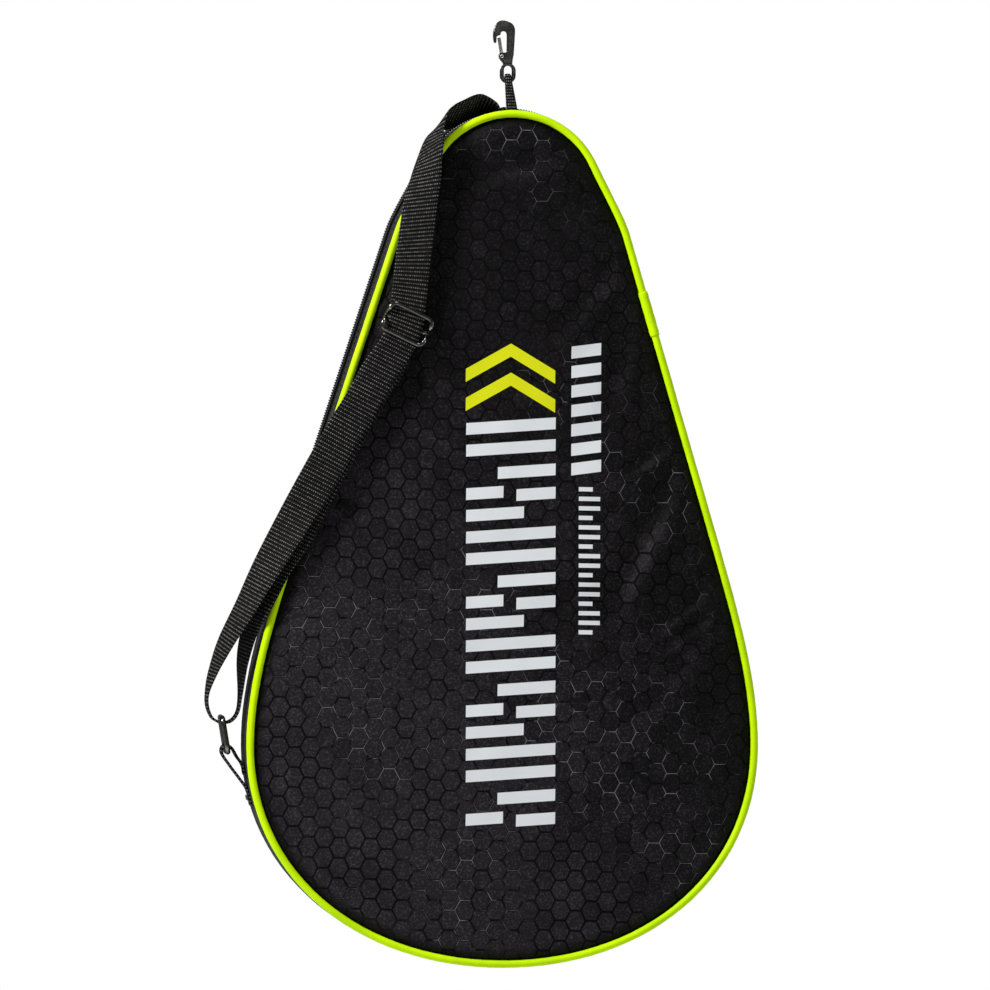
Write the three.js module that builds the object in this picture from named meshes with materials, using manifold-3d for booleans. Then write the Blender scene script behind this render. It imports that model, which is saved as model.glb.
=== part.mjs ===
// A padded racket case hanging from its clip, in millimetres: +Z up, front face towards -Y.
// The case is laid out in its own coordinates first (X = 0 on its centre line, Y = 0 at mid depth,
// Z = 0 at the lowest point of the rim) and the whole group is then moved so that the origin is
// where a fence wire bears inside the clip's hook.
import * as THREE from "three";
import { mergeVertices } from "three/addons/utils/BufferGeometryUtils.js";
import Module from "manifold-3d";

// ---------------------------------------------------------------- driving dimensions
const caseHeight = 459;
const halfWidth = 137.5;
const widestZ = 119;
const flankLow = { x: 114.6, z: 228 };
const flankHigh = { x: 63.1, z: 394 };
const shoulderTop = { x: 44.5, z: 431.4 };
const topRadius = 49.7;
const caseDepth = 50;

const gap = 0.3;
const fabric = 0.8;
const panelFoam = 3;
const lining = 0.6;
const pipingRadius = 2;
const gussetFabric = 0.6;
const gussetFoam = 2;
const gussetLining = 0.5;
const gussetInset = 0.8;

const zipY = 10;
const zipSplit = 1;
const tapeReach = 7;
const tapeThickness = 0.6;
const coilWidth = 3;
const coilHeight = 2.2;
const gussetToZip = 6;

const hingeZ = 252;
const flapZ = 252.5;
const tapeEndZ = 226;
const coilEndZ = 230.5;
const notchZ = 224;

const strapWidth = 19.5;
const strapThickness = 1.4;
const ringWire = 1.4;
const adjusterWire = 1.1;
const cordWidth = { eye: 3.3, foot: 4.9 };
const cordThickness = 1.4;

const clipEye = new THREE.Vector3(-3.1, -12.7, 479.3);
const hangPoint = clipEye.clone().add(new THREE.Vector3(-2.7, 0, 22.4));

const halfDepth = caseDepth / 2;
const pipingY = halfDepth - 1;
const panelInset = 2 * pipingRadius + gap;
const coreInset = gussetInset + gussetFabric + gussetFoam + gussetLining + 3 * gap;
const gussetEdgeY = pipingY - pipingRadius - gap;

// ---------------------------------------------------------------- finishes
const finish = (color, roughness, metalness = 0) =>
  new THREE.MeshStandardMaterial({ color, roughness, metalness });
const shellCloth = finish(0x242226, 0.75);
const gussetCloth = finish(0x151517, 0.9);
const foamCore = finish(0xb9b9b4, 0.95);
const liningCloth = finish(0x1c1c1e, 0.85);
const pipingVinyl = finish(0xb4e610, 0.4);
const darkVinyl = finish(0x131314, 0.5);
const webbing = finish(0x101011, 0.85);
const zipNylon = finish(0x0d0d0e, 0.6);
const zipTapeCloth = finish(0x141416, 0.9);
const gunmetal = finish(0x2f2e2d, 0.25, 1);
const brightMetal = finish(0xb8b8bc, 0.2, 1);
const braid = finish(0x1a1a1b, 0.8);
const thread = finish(0x222224, 0.7);

// ---------------------------------------------------------------- solids from rings
// Joins rings of points, all with the same count, into one closed solid with its faces outwards.
function loft(rings, closed = false) {
  const perRing = rings[0].length;
  const faces = [];
  const last = closed ? rings.length : rings.length - 1;
  for (let i = 0; i < last; i++) {
    const here = rings[i];
    const next = rings[(i + 1) % rings.length];
    for (let k = 0; k < perRing; k++) {
      const m = (k + 1) % perRing;
      faces.push([here[k], here[m], next[m]], [here[k], next[m], next[k]]);
    }
  }
  if (!closed) {
    const first = rings[0];
    const end = rings[rings.length - 1];
    for (let k = 1; k < perRing - 1; k++) {
      faces.push([first[0], first[k + 1], first[k]]);
      faces.push([end[0], end[k], end[k + 1]]);
    }
  }
  let volume = 0;
  for (const [a, b, c] of faces) volume += a.dot(b.clone().cross(c));
  const places = [];
  for (const [a, b, c] of faces) {
    const turned = volume < 0 ? [a, c, b] : [a, b, c];
    for (const p of turned) places.push(p.x, p.y, p.z);
  }
  const geometry = new THREE.BufferGeometry();
  geometry.setAttribute("position", new THREE.Float32BufferAttribute(places, 3));
  return geometry;
}

// A round bar along points that lie in one plane; `across` is that plane's normal.
function roundBar(points, radius, sides, across, closed = false) {
  const rings = points.map((p, i) => {
    const before = points[closed ? (i + points.length - 1) % points.length : Math.max(i - 1, 0)];
    const after = points[closed ? (i + 1) % points.length : Math.min(i + 1, points.length - 1)];
    const side = after.clone().sub(before).normalize().cross(across).normalize();
    const ring = [];
    for (let k = 0; k < sides; k++) {
      const a = (2 * Math.PI * k) / sides;
      const spoke = side.clone().multiplyScalar(radius * Math.cos(a));
      ring.push(p.clone().add(spoke).addScaledVector(across, radius * Math.sin(a)));
    }
    return ring;
  });
  return loft(rings, closed);
}

// A flat strip between two edge curves, given as pairs of edge points at the same stations.
function strip(stations, thickness, steps, tension = 0.5) {
  const left = new THREE.CatmullRomCurve3(stations.map((s) => s[0]), false, "catmullrom", tension);
  const right = new THREE.CatmullRomCurve3(stations.map((s) => s[1]), false, "catmullrom", tension);
  const rings = [];
  for (let i = 0; i <= steps; i++) {
    const t = i / steps;
    const a = left.getPoint(t);
    const b = right.getPoint(t);
    const along = left.getTangent(t).add(right.getTangent(t)).normalize();
    const lift = b.clone().sub(a).cross(along).normalize().multiplyScalar(thickness / 2);
    rings.push([a.clone().add(lift), b.clone().add(lift), b.clone().sub(lift), a.clone().sub(lift)]);
  }
  return loft(rings);
}

// ---------------------------------------------------------------- the rim of the case
const topCentreZ = caseHeight - topRadius;

function rimHalf() {
  const path = new THREE.Path();
  path.moveTo(0, 0);
  path.bezierCurveTo(79, 0, halfWidth, 49, halfWidth, widestZ);
  path.bezierCurveTo(halfWidth, 154, 125.4, 193, flankLow.x, flankLow.z);
  path.lineTo(flankHigh.x, flankHigh.z);
  path.bezierCurveTo(60.6, 402, 51.5, 417.5, shoulderTop.x, shoulderTop.z);
  path.absarc(0, topCentreZ, topRadius, Math.asin(22.1 / topRadius), Math.PI / 2, false);
  return path.getPoints(9);
}

// Every rim point with its outward direction, from the bottom up the right side and round.
function rimAll() {
  const right = rimHalf();
  const left = right.slice(1, -1).reverse().map((p) => new THREE.Vector2(-p.x, p.y));
  const clean = [...right, ...left].filter((p, i, all) => i === 0 || p.distanceTo(all[i - 1]) > 0.05);
  return clean.map((p, i) => {
    const before = clean[(i + clean.length - 1) % clean.length];
    const after = clean[(i + 1) % clean.length];
    const a = p.clone().sub(before).normalize();
    const b = after.clone().sub(p).normalize();
    const along = a.add(b).normalize();
    return { x: p.x, z: p.y, outX: along.y, outZ: -along.x };
  });
}
const rim = rimAll();

const flankLean = Math.atan((flankLow.x - flankHigh.x) / (flankHigh.z - flankLow.z));

// A rim point on the straight flank at height z; side is 1 on the right and -1 on the left.
function flankPoint(z, side) {
  const x = flankLow.x - (z - flankLow.z) * Math.tan(flankLean);
  return { x: side * x, z, outX: side * Math.cos(flankLean), outZ: Math.sin(flankLean) };
}

function rimAbove(z) {
  const kept = rim.filter((p) => p.z > z + 0.5);
  return [flankPoint(z, 1), ...kept, flankPoint(z, -1)];
}

function rimBelow(z) {
  const right = rim.filter((p) => p.z < z - 0.5 && p.x >= 0);
  const left = rim.filter((p) => p.z < z - 0.5 && p.x < 0);
  return [flankPoint(z, -1), ...left, ...right, flankPoint(z, 1)];
}

function rimHalfWidth(z) {
  const right = rim.filter((p) => p.x > 0);
  const k = right.findIndex((p) => p.z > z);
  const share = (z - right[k - 1].z) / (right[k].z - right[k - 1].z);
  return right[k - 1].x + share * (right[k].x - right[k - 1].x);
}

// The place `inset` inside the rim (negative is outside it) at depth y.
const inside = (p, inset, y) => new THREE.Vector3(p.x - p.outX * inset, y, p.z - p.outZ * inset);

// A wall that follows the rim, between two insets and two depths.
function wall(points, outer, inner, yFrom, yTo) {
  const rings = points.map((p) => [
    inside(p, outer, yFrom),
    inside(p, inner, yFrom),
    inside(p, inner, yTo),
    inside(p, outer, yTo),
  ]);
  return loft(rings);
}

// A flat panel inside the rim, between two depths.
function panel(points, inset, yFrom, yTo) {
  const shape = new THREE.Shape();
  const corners = points.map((p) => inside(p, inset, 0));
  shape.setFromPoints(corners.map((p) => new THREE.Vector2(p.x, p.z)));
  const plate = new THREE.ExtrudeGeometry(shape, { depth: yTo - yFrom, bevelEnabled: false });
  return plate.rotateX(Math.PI / 2).translate(0, yTo, 0);
}

function piping(points, y, closed) {
  const path = points.map((p) => inside(p, pipingRadius, y));
  return roundBar(path, pipingRadius, 8, new THREE.Vector3(0, 1, 0), closed);
}

// ---------------------------------------------------------------- boolean cuts and joins
const wasm = await Module();
wasm.setup();

function toSolid(geometry) {
  const bare = geometry.clone();
  bare.deleteAttribute("normal");
  bare.deleteAttribute("uv");
  const merged = mergeVertices(bare, 1e-4);
  const mesh = new wasm.Mesh({
    numProp: 3,
    vertProperties: merged.attributes.position.array,
    triVerts: new Uint32Array(merged.index.array),
  });
  return new wasm.Manifold(mesh);
}

function toGeometry(solid) {
  const mesh = solid.getMesh();
  const geometry = new THREE.BufferGeometry();
  geometry.setAttribute("position", new THREE.BufferAttribute(mesh.vertProperties, 3));
  geometry.setIndex(new THREE.BufferAttribute(mesh.triVerts, 1));
  return geometry;
}

const join = (first, ...others) =>
  toGeometry(others.reduce((sum, g) => sum.add(toSolid(g)), toSolid(first)));
const cut = (first, ...others) =>
  toGeometry(others.reduce((rest, g) => rest.subtract(toSolid(g)), toSolid(first)));

// A box between two corners.
function block(low, high) {
  const size = high.map((h, k) => h - low[k]);
  const middle = high.map((h, k) => (h + low[k]) / 2);
  return new THREE.BoxGeometry(...size).translate(...middle);
}

// A cylinder along Y, centred on (x, y, z).
const rod = (radius, length, x, y, z, sides = 12) =>
  new THREE.CylinderGeometry(radius, radius, length, sides).translate(x, y, z);

// ---------------------------------------------------------------- the assembly
const paddleCase = new THREE.Group();
paddleCase.position.copy(hangPoint).negate();

function add(name, geometry, material, parent = paddleCase) {
  const mesh = new THREE.Mesh(geometry, material);
  mesh.name = name;
  parent.add(mesh);
  return mesh;
}

// Panels: outer cloth, foam and lining, from the outside in.
function addPanels(prefix, points, side) {
  const layers = [
    ["fabric", fabric, shellCloth, panelInset],
    ["foam", panelFoam, foamCore, coreInset],
    ["lining", lining, liningCloth, coreInset],
  ];
  let outer = halfDepth;
  for (const [layer, thickness, material, inset] of layers) {
    const inner = outer - thickness;
    const span = side < 0 ? [-outer, -inner] : [inner, outer];
    add(`${prefix}_${layer}`, panel(points, inset, ...span), material);
    outer = inner - gap;
  }
}
addPanels("front_panel", rim, -1);
addPanels("rear_lower", rimBelow(hingeZ), 1);
addPanels("flap", rimAbove(flapZ), 1);

// Piping round both faces. The front run's two ends meet in a sleeve on the right flank.
const sleeveLow = 340;
const sleeveHigh = 364;
const pipingEnds = [...rimAbove(sleeveHigh), ...rimBelow(sleeveLow).slice(0, -1), flankPoint(sleeveLow, 1)];
pipingEnds.splice(rimAbove(sleeveHigh).length - 1, 2);
add("front_piping", piping(pipingEnds, -pipingY, false), pipingVinyl);
const sleevePath = [sleeveLow + gap, sleeveHigh - gap].map((z) => flankPoint(z, 1));
add("piping_joint_sleeve", piping(sleevePath, -pipingY, false), pipingVinyl);
add("rear_lower_piping", piping(rimBelow(hingeZ), pipingY, false), darkVinyl);
add("flap_piping", piping(rimAbove(flapZ), pipingY, false), darkVinyl);

// Gusset: cloth, foam and lining follow the rim between the two faces. Above the hinge line the
// zip divides it into a wide front band and a narrow band on the flap.
function addGusset(prefix, points, yFrom, yTo, notch) {
  const layers = [
    ["fabric", gussetFabric, gussetCloth],
    ["foam", gussetFoam, foamCore],
    ["lining", gussetLining, liningCloth],
  ];
  let outer = gussetInset;
  for (const [layer, thickness, material] of layers) {
    const solid = wall(points, outer, outer + thickness, yFrom, yTo);
    add(`${prefix}_${layer}`, notch ? cut(solid, notch) : solid, material);
    outer += thickness + gap;
  }
}
const zipSlot = block(
  [-halfWidth, zipY - gussetToZip, notchZ],
  [halfWidth, zipY + gussetToZip, hingeZ + 20],
);
addGusset("gusset_lower", rimBelow(hingeZ), -gussetEdgeY, gussetEdgeY, zipSlot);
addGusset("gusset_front", rimAbove(flapZ), -gussetEdgeY, zipY - gussetToZip);
addGusset("gusset_flap", rimAbove(flapZ), zipY + gussetToZip, gussetEdgeY);

// Zip: tape and coil on each side of the split, tails below the hinge line, and end stops.
const tapeOuter = gussetInset - gap - tapeThickness;
const coilOuter = tapeOuter - gap - coilHeight;
const tape = (points, side) => {
  const edge = zipY + (side * zipSplit) / 2;
  const reach = zipY + side * tapeReach;
  return wall(points, tapeOuter, tapeOuter + tapeThickness, edge, reach);
};
const coil = (points, side) => {
  const edge = zipY + (side * zipSplit) / 2;
  return wall(points, coilOuter, coilOuter + coilHeight, edge, edge + side * coilWidth);
};
add("zip_tape_front", tape(rimAbove(tapeEndZ), -1), zipTapeCloth);
add("zip_coil_front", coil(rimAbove(coilEndZ), -1), zipNylon);
add("zip_tape_flap", tape(rimAbove(flapZ), 1), zipTapeCloth);
add("zip_coil_flap", coil(rimAbove(flapZ), 1), zipNylon);
for (const [name, side] of [["right", 1], ["left", -1]]) {
  const tapeTail = [tapeEndZ, hingeZ].map((z) => flankPoint(z, side));
  const coilTail = [coilEndZ, hingeZ].map((z) => flankPoint(z, side));
  const stop = [tapeEndZ + 0.5, coilEndZ - 0.5].map((z) => flankPoint(z, side));
  add(`zip_tape_tail_${name}`, tape(tapeTail, 1), zipTapeCloth);
  add(`zip_coil_tail_${name}`, coil(coilTail, 1), zipNylon);
  const stopWall = wall(stop, coilOuter, coilOuter + coilHeight, zipY - coilWidth, zipY + coilWidth);
  add(`zip_stop_${name}`, stopWall, gunmetal);
}

// Zip slider, drawn at the parked place on the left flank in a frame of its own:
// local +Z runs up the flank and local +X points out of it.
const sliderZ = 241;
const sliderLength = 9;
const sliderHalfWidth = 4;
const plate = 1.2;
const webHalf = 0.2;
const pullLength = 30;
const parked = flankPoint(sliderZ, -1);
const sliderGroup = new THREE.Group();
sliderGroup.position.set(parked.x, zipY, parked.z);
sliderGroup.rotation.set(0, flankLean, Math.PI, "YXZ");
paddleCase.add(sliderGroup);

const half = sliderLength / 2;
const topFace = -coilOuter + gap + plate;
const barOut = topFace + 1.9;
const topPlate = block(
  [topFace - plate, -sliderHalfWidth, -half],
  [topFace, sliderHalfWidth, half],
);
const lowerTop = -(tapeOuter + tapeThickness) - 0.4;
const bottomPlate = block(
  [lowerTop - 1, -sliderHalfWidth, -half],
  [lowerTop, sliderHalfWidth, half],
);
const web = block([lowerTop - 0.1, -webHalf, -half], [topFace - plate + 0.1, webHalf, half]);
const ear = (side) => block(
  [topFace - 0.1, Math.min(side * 2, side * 2.9), -1.6],
  [barOut + 0.9, Math.max(side * 2, side * 2.9), 1.6],
);
const bail = rod(0.5, 5, barOut, 0, 0);
add("zip_slider", join(topPlate, bottomPlate, web, ear(1), ear(-1), bail), gunmetal, sliderGroup);

const pullEye = cut(rod(1.25, 3.2, barOut, 0, 0, 16), rod(0.8, 4, barOut, 0, 0, 12));
const pullNeck = block([barOut - 0.6, -1.6, -6], [barOut + 0.6, 1.6, -1]);
const pullTongue = block([barOut - 0.6, -3, -pullLength], [barOut + 0.6, 3, -5.5]);
add("zip_pull", join(pullEye, pullNeck, pullTongue), gunmetal, sliderGroup);

// ---------------------------------------------------------------- shoulder strap
// Stations give the two edges of the webbing: the edge that lies to the left (or to the rear
// where the strap runs over the top and round the ring), then the other one.
const at = (x, y, z) => new THREE.Vector3(x, y, z);
const strapY = -34.3;

const mainRun = [
  [at(-3.5, -1.5, 459.5), at(-3.5, -21, 459.5)],
  [at(-7.2, -1.7, 459.4), at(-7.2, -21.2, 459.5)],
  [at(-12, -3.8, 458.6), at(-10, -21.9, 463.3)],
  [at(-22, -8.7, 455), at(-18.2, -23, 467.2)],
  [at(-33, -15.6, 449), at(-27, -26, 464)],
  [at(-41.3, -16.4, 446.5), at(-35.3, -30, 458.4)],
  [at(-47, -17, 442.9), at(-38.7, -34, 447.3)],
  [at(-51.8, -22, 431.8), at(-39, -35.5, 439.8)],
  [at(-55.5, -27, 421.5), at(-39.8, -36, 425.4)],
  [at(-59.5, -31.5, 407.5), at(-41, -35.5, 409.9)],
  [at(-62.8, strapY, 383), at(-43.6, strapY, 384.5)],
  [at(-65, strapY, 359), at(-46.2, strapY, 356)],
  [at(-65.8, strapY, 346.5), at(-48, strapY, 340)],
  [at(-70.5, strapY, 335.2), at(-53.2, strapY, 327.3)],
  [at(-79.5, -34.7, 322), at(-62, -34.7, 313.5)],
  [at(-87.2, -35.6, 307.6), at(-69.7, -35.6, 299)],
  [at(-98.3, -35.6, 288.8), at(-81, -35.8, 279.6)],
  [at(-117.2, -34, 253.4), at(-99.7, -36, 245)],
  [at(-133.8, -21.5, 218.2), at(-120.6, -34.5, 211.3)],
  [at(-143.7, -13, 193.6), at(-134.6, -29.5, 188.3)],
  [at(-152.6, -4, 172.3), at(-146.6, -22, 167.5)],
  [at(-157, 4, 154.6), at(-153.6, -15, 153.6)],
  [at(-158, 8, 144), at(-157.3, -11.2, 144)],
  [at(-157.6, 9.6, 137), at(-157.4, -9.9, 137)],
  [at(-155, 9.75, 131), at(-155, -9.75, 131)],
  [at(-151.2, 9.75, 128.4), at(-151.2, -9.75, 128.4)],
];
const returnRun = [
  [at(-150.6, 9.75, 128.2), at(-150.6, -9.75, 128.2)],
  [at(-145.2, 9.75, 128.9), at(-145.2, -9.75, 128.9)],
  [at(-141.2, 9.4, 134), at(-141.2, -10.1, 134)],
  [at(-140.4, 8, 144), at(-139.4, -11.4, 144)],
  [at(-141.8, 2, 163), at(-136.8, -16.6, 160.5)],
  [at(-140.2, -6, 179), at(-132.6, -23.5, 176.5)],
  [at(-137, -13, 192.5), at(-127, -28.8, 187.5)],
  [at(-131, -18.5, 213), at(-116.6, -29.2, 208)],
  [at(-123.5, -25.4, 230.5), at(-106.6, -31.6, 223.5)],
  [at(-105.7, -31.6, 268.8), at(-88.4, -32.6, 260.2)],
  [at(-87, -33.2, 306), at(-69.7, -33.2, 297.4)],
  [at(-74.5, -32.6, 327), at(-57.5, -32.6, 317.6)],
  [at(-66.6, -32.2, 343.2), at(-49.8, -32.2, 335.2)],
];
add("strap_main_run", strip(mainRun, strapThickness, 72), webbing);
add("strap_return_run", strip(returnRun, strapThickness, 40), webbing);

// Bar tack that sews the strap's end to the top of the gusset.
add("strap_anchor_bartack", block([-6.4, -19.5, 460.6], [-4.4, -3, 461.1]), thread);

// Adjuster: a bent wire frame with a centre bar, tilted in the plane of the front panel.
const adjusterTilt = THREE.MathUtils.degToRad(25);
const adjusterGroup = new THREE.Group();
adjusterGroup.position.set(-56.6, 0, 343);
adjusterGroup.rotation.y = adjusterTilt;
paddleCase.add(adjusterGroup);
const frameHalf = { across: 12.1, along: 7.6, corner: 3.2 };
const wireFrontY = strapY - strapThickness / 2 - 0.5 - adjusterWire;
const wireBackY = strapY + strapThickness / 2 + 0.5 + adjusterWire;

// Rounded rectangle as a closed list of points (u, v).
function roundedLoop(halfU, halfV, radius, perCorner) {
  const points = [];
  const corners = [[1, 1, 0], [-1, 1, 90], [-1, -1, 180], [1, -1, 270]];
  for (const [su, sv, start] of corners) {
    for (let i = 0; i <= perCorner; i++) {
      const a = THREE.MathUtils.degToRad(start + (90 * i) / perCorner);
      const u = su * (halfU - radius) + radius * Math.cos(a);
      const v = sv * (halfV - radius) + radius * Math.sin(a);
      points.push([u, v]);
    }
  }
  return points;
}

function adjusterFrame() {
  const loop = roundedLoop(frameHalf.across, frameHalf.along, frameHalf.corner, 4);
  const sides = [];
  const withMiddle = [];
  loop.forEach(([u, v], i) => {
    withMiddle.push([u, v]);
    const [, nextV] = loop[(i + 1) % loop.length];
    if (Math.abs(v) > 1 && v * nextV < 0) withMiddle.push([u, 0]);
  });
  for (const [u, v] of withMiddle) {
    const share = Math.min(1, Math.abs(v) / (frameHalf.along - frameHalf.corner));
    sides.push(at(u, wireBackY + (wireFrontY - wireBackY) * share, v));
  }
  return roundBar(sides, adjusterWire, 8, at(0, 1, 0), true);
}
const centreBar = new THREE.CylinderGeometry(adjusterWire, adjusterWire, 2 * frameHalf.across, 10);
centreBar.rotateZ(Math.PI / 2).translate(0, wireBackY, 0);
add("strap_adjuster", join(adjusterFrame(), centreBar), gunmetal, adjusterGroup);

// Lower ring: a rounded rectangle of wire standing across the gusset, held by a webbing tab.
const ringLow = at(-146.4, 0, 112.7);
const ringHigh = at(-149.7, 0, 130.9);
const ringUp = ringHigh.clone().sub(ringLow).normalize();
const ringMiddle = ringLow.clone().add(ringHigh).multiplyScalar(0.5);
const ringHalfTall = ringHigh.distanceTo(ringLow) / 2;
const ringHalfWide = strapWidth / 2 + 2.6;
const ringPath = roundedLoop(ringHalfWide, ringHalfTall, 3.4, 5).map(([u, v]) =>
  ringMiddle.clone().addScaledVector(ringUp, v).add(at(0, u, 0)),
);
const ringNormal = ringUp.clone().cross(at(0, 1, 0)).normalize();
add("lower_ring", roundBar(ringPath, ringWire, 8, ringNormal, true), gunmetal);

const tabOff = strapThickness / 2 + gap;
const sewn = (z, out) => [-(rimHalfWidth(z) - gussetInset) - tabOff - out, z];
const tabPath = [
  sewn(84, 0.4), sewn(92.5, 0.5), [-139.8, 98.8], [-144.9, 105.4], [-149.1, 111.5],
  [-148.9, 115], [-146.4, 116.1], [-143.9, 114.6], [-141.4, 110.4], sewn(105.5, 1), sewn(100.5, 0.5),
];
const half20 = strapWidth / 2;
const tabStations = tabPath.map(([x, z]) => [at(x, half20, z), at(x, -half20, z)]);
add("ring_tab", strip(tabStations, strapThickness, 30), webbing);
const tackX = sewn(88, 0.5)[0] - strapThickness / 2 - 2 * gap;
const tackBlock = block([-0.6, -8.5, -1.2], [0, 8.5, 1.2]);
tackBlock.rotateY(Math.atan2(sewn(92, 0)[0] - sewn(82, 0)[0], 10));
add("ring_tab_bartack", tackBlock.translate(tackX, 0, 88), thread);

// ---------------------------------------------------------------- hang loop and clip
// The cord stands in the plane across the depth, leaning towards the clip's eye.
const loopFootX = -0.4;
const loopFootZ = caseHeight - gussetInset + 2 * gap;
const loopTopZ = clipEye.z - 1;
const loopLean = (clipEye.x - loopFootX) / (loopTopZ - loopFootZ);
function hangLoop() {
  const rise = loopTopZ - loopFootZ;
  const side = [
    [6.2, 0], [5.6, 0.22], [4.4, 0.5], [3.2, 0.75], [2.5, 0.9], [1.6, 0.98],
  ];
  const legs = [...side.map(([y, r]) => [-y, r]), [0, 1], ...side.reverse()];
  const stations = legs.map(([y, r]) => {
    const z = loopFootZ + r * rise;
    const x = loopFootX + (z - loopFootZ) * loopLean;
    const place = at(x, clipEye.y + y, z);
    const width = cordWidth.foot + (cordWidth.eye - cordWidth.foot) * Math.min(1, r / 0.9);
    const edge = at(width / 2, 0, 0);
    return [place.clone().sub(edge), place.clone().add(edge)];
  });
  return strip(stations, cordThickness, 28);
}
add("hang_loop", hangLoop(), braid);

// Clip: the hook and eye are one casting; the gate turns on a pin in the hook's lug.
const clipGroup = new THREE.Group();
clipGroup.position.copy(clipEye);
paddleCase.add(clipGroup);
const hookHalf = 1.6;
const eyeHalf = 1.15;
const gateHalf = 1;
const gatePivot = { x: -3.3, z: 9 };
const gateTip = { x: -5.1, z: 18.9 };

// Extrudes an outline in the clip's plane to a plate centred on local Y = 0.
function clipPlate(shape, halfThickness, curveSteps = 6) {
  const depth = 2 * halfThickness;
  const solid = new THREE.ExtrudeGeometry(shape, { depth, bevelEnabled: false, curveSegments: curveSteps });
  return solid.rotateX(Math.PI / 2).translate(0, halfThickness, 0);
}

function stadium(halfWide, low, high) {
  const shape = new THREE.Shape();
  shape.moveTo(halfWide, low + halfWide);
  shape.lineTo(halfWide, high - halfWide);
  shape.absarc(0, high - halfWide, halfWide, 0, Math.PI, false);
  shape.lineTo(-halfWide, low + halfWide);
  shape.absarc(0, low + halfWide, halfWide, Math.PI, 2 * Math.PI, false);
  return shape;
}

function hookShape() {
  const shape = new THREE.Shape();
  shape.moveTo(2.3, 4.4);
  shape.quadraticCurveTo(2.3, 7, 3, 10);
  shape.lineTo(3.5, 22.6);
  shape.quadraticCurveTo(3.4, 26.6, -0.4, 27.6);
  shape.quadraticCurveTo(-3.4, 28.9, -5.5, 27.6);
  shape.quadraticCurveTo(-8.1, 25.4, -8.3, 20.8);
  shape.quadraticCurveTo(-8.3, 17.6, -7.6, 16);
  shape.lineTo(-6.5, 16);
  shape.lineTo(-6.35, 19.6);
  shape.lineTo(-4.3, 20.4);
  shape.quadraticCurveTo(-4.4, 22.4, -2.7, 22.4);
  shape.quadraticCurveTo(-1, 22.4, -0.9, 20.4);
  shape.lineTo(-0.8, 11.2);
  shape.lineTo(-4.6, 11.2);
  shape.quadraticCurveTo(-6.1, 8.8, -4, 6.6);
  shape.quadraticCurveTo(-2.6, 5.6, -2.6, 4.4);
  return shape;
}
const eyeShape = stadium(4.3, -5.6, 5.4);
eyeShape.holes.push(stadium(2.1, -3.4, 3.9));
const gateSlot = join(
  rod(2.3, 2 * (gateHalf + 0.35), gatePivot.x, 0, gatePivot.z, 20),
  block([-7.5, -gateHalf - 0.35, gatePivot.z + 0.2], [-1.25, gateHalf + 0.35, 12.5]),
);
const pinHole = rod(0.95, 10, gatePivot.x, 0, gatePivot.z);
const hook = cut(join(clipPlate(hookShape(), hookHalf), clipPlate(eyeShape, eyeHalf)), gateSlot, pinHole);
add("clip_hook", hook, gunmetal, clipGroup);

// The gate leans from its pivot to the inside of the hook's nose.
const gateLength = Math.hypot(gateTip.x - gatePivot.x, gateTip.z - gatePivot.z);
const gateLean = Math.atan2(gatePivot.x - gateTip.x, gateTip.z - gatePivot.z);
const gateGroup = new THREE.Group();
gateGroup.position.set(gatePivot.x, 0, gatePivot.z);
gateGroup.rotation.y = -gateLean;
clipGroup.add(gateGroup);
const gateArm = block([-0.85, -gateHalf, 0], [0.85, gateHalf, gateLength]);
const gateBore = rod(0.95, 6, 0, 0, 0);
add("clip_gate", cut(join(rod(1.8, 2 * gateHalf, 0, 0, 0, 16), gateArm), gateBore), brightMetal, gateGroup);
add("gate_pin", rod(0.6, 2 * hookHalf + 0.6, gatePivot.x, 0, gatePivot.z), gunmetal, clipGroup);

export default paddleCase;
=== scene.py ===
import math

import bmesh
import bpy
import numpy as np
from mathutils import Matrix, Vector
from mathutils.bvhtree import BVHTree
from mathutils.geometry import delaunay_2d_cdt


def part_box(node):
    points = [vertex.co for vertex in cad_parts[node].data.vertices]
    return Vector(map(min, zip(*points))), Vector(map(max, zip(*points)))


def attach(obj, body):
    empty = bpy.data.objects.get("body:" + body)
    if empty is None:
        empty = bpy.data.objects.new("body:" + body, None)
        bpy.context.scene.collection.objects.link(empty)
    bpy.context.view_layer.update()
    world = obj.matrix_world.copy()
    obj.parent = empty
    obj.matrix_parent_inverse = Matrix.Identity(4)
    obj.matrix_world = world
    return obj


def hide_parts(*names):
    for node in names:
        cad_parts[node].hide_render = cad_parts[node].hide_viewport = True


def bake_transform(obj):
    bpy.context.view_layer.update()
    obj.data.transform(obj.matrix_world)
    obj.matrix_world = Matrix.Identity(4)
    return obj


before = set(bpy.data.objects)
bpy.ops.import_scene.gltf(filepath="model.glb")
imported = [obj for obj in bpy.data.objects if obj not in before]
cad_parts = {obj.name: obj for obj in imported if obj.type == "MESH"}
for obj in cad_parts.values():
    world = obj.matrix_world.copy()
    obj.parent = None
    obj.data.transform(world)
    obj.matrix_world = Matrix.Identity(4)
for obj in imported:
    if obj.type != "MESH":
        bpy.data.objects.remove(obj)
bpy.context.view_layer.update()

# ---------------------------------------------------------------- sizes, in millimetres
CASE_HEIGHT = 459.0
HALF_WIDTH = 137.5
TOP_RADIUS = 49.7
PIPING_RADIUS = 2.0
PIPING_Y = 24.0
GUSSET_EDGE = 22.6
HINGE_Z = 252.0
ZIP_Y = 10.0
FLANK_LOW = (114.6, 228.0)
FLANK_HIGH = (63.1, 394.0)
LEAN = math.atan((FLANK_LOW[0] - FLANK_HIGH[0]) / (FLANK_HIGH[1] - FLANK_LOW[1]))
STRAP_WIDTH = 19.5
STRAP_THICKNESS = 1.35

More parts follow.
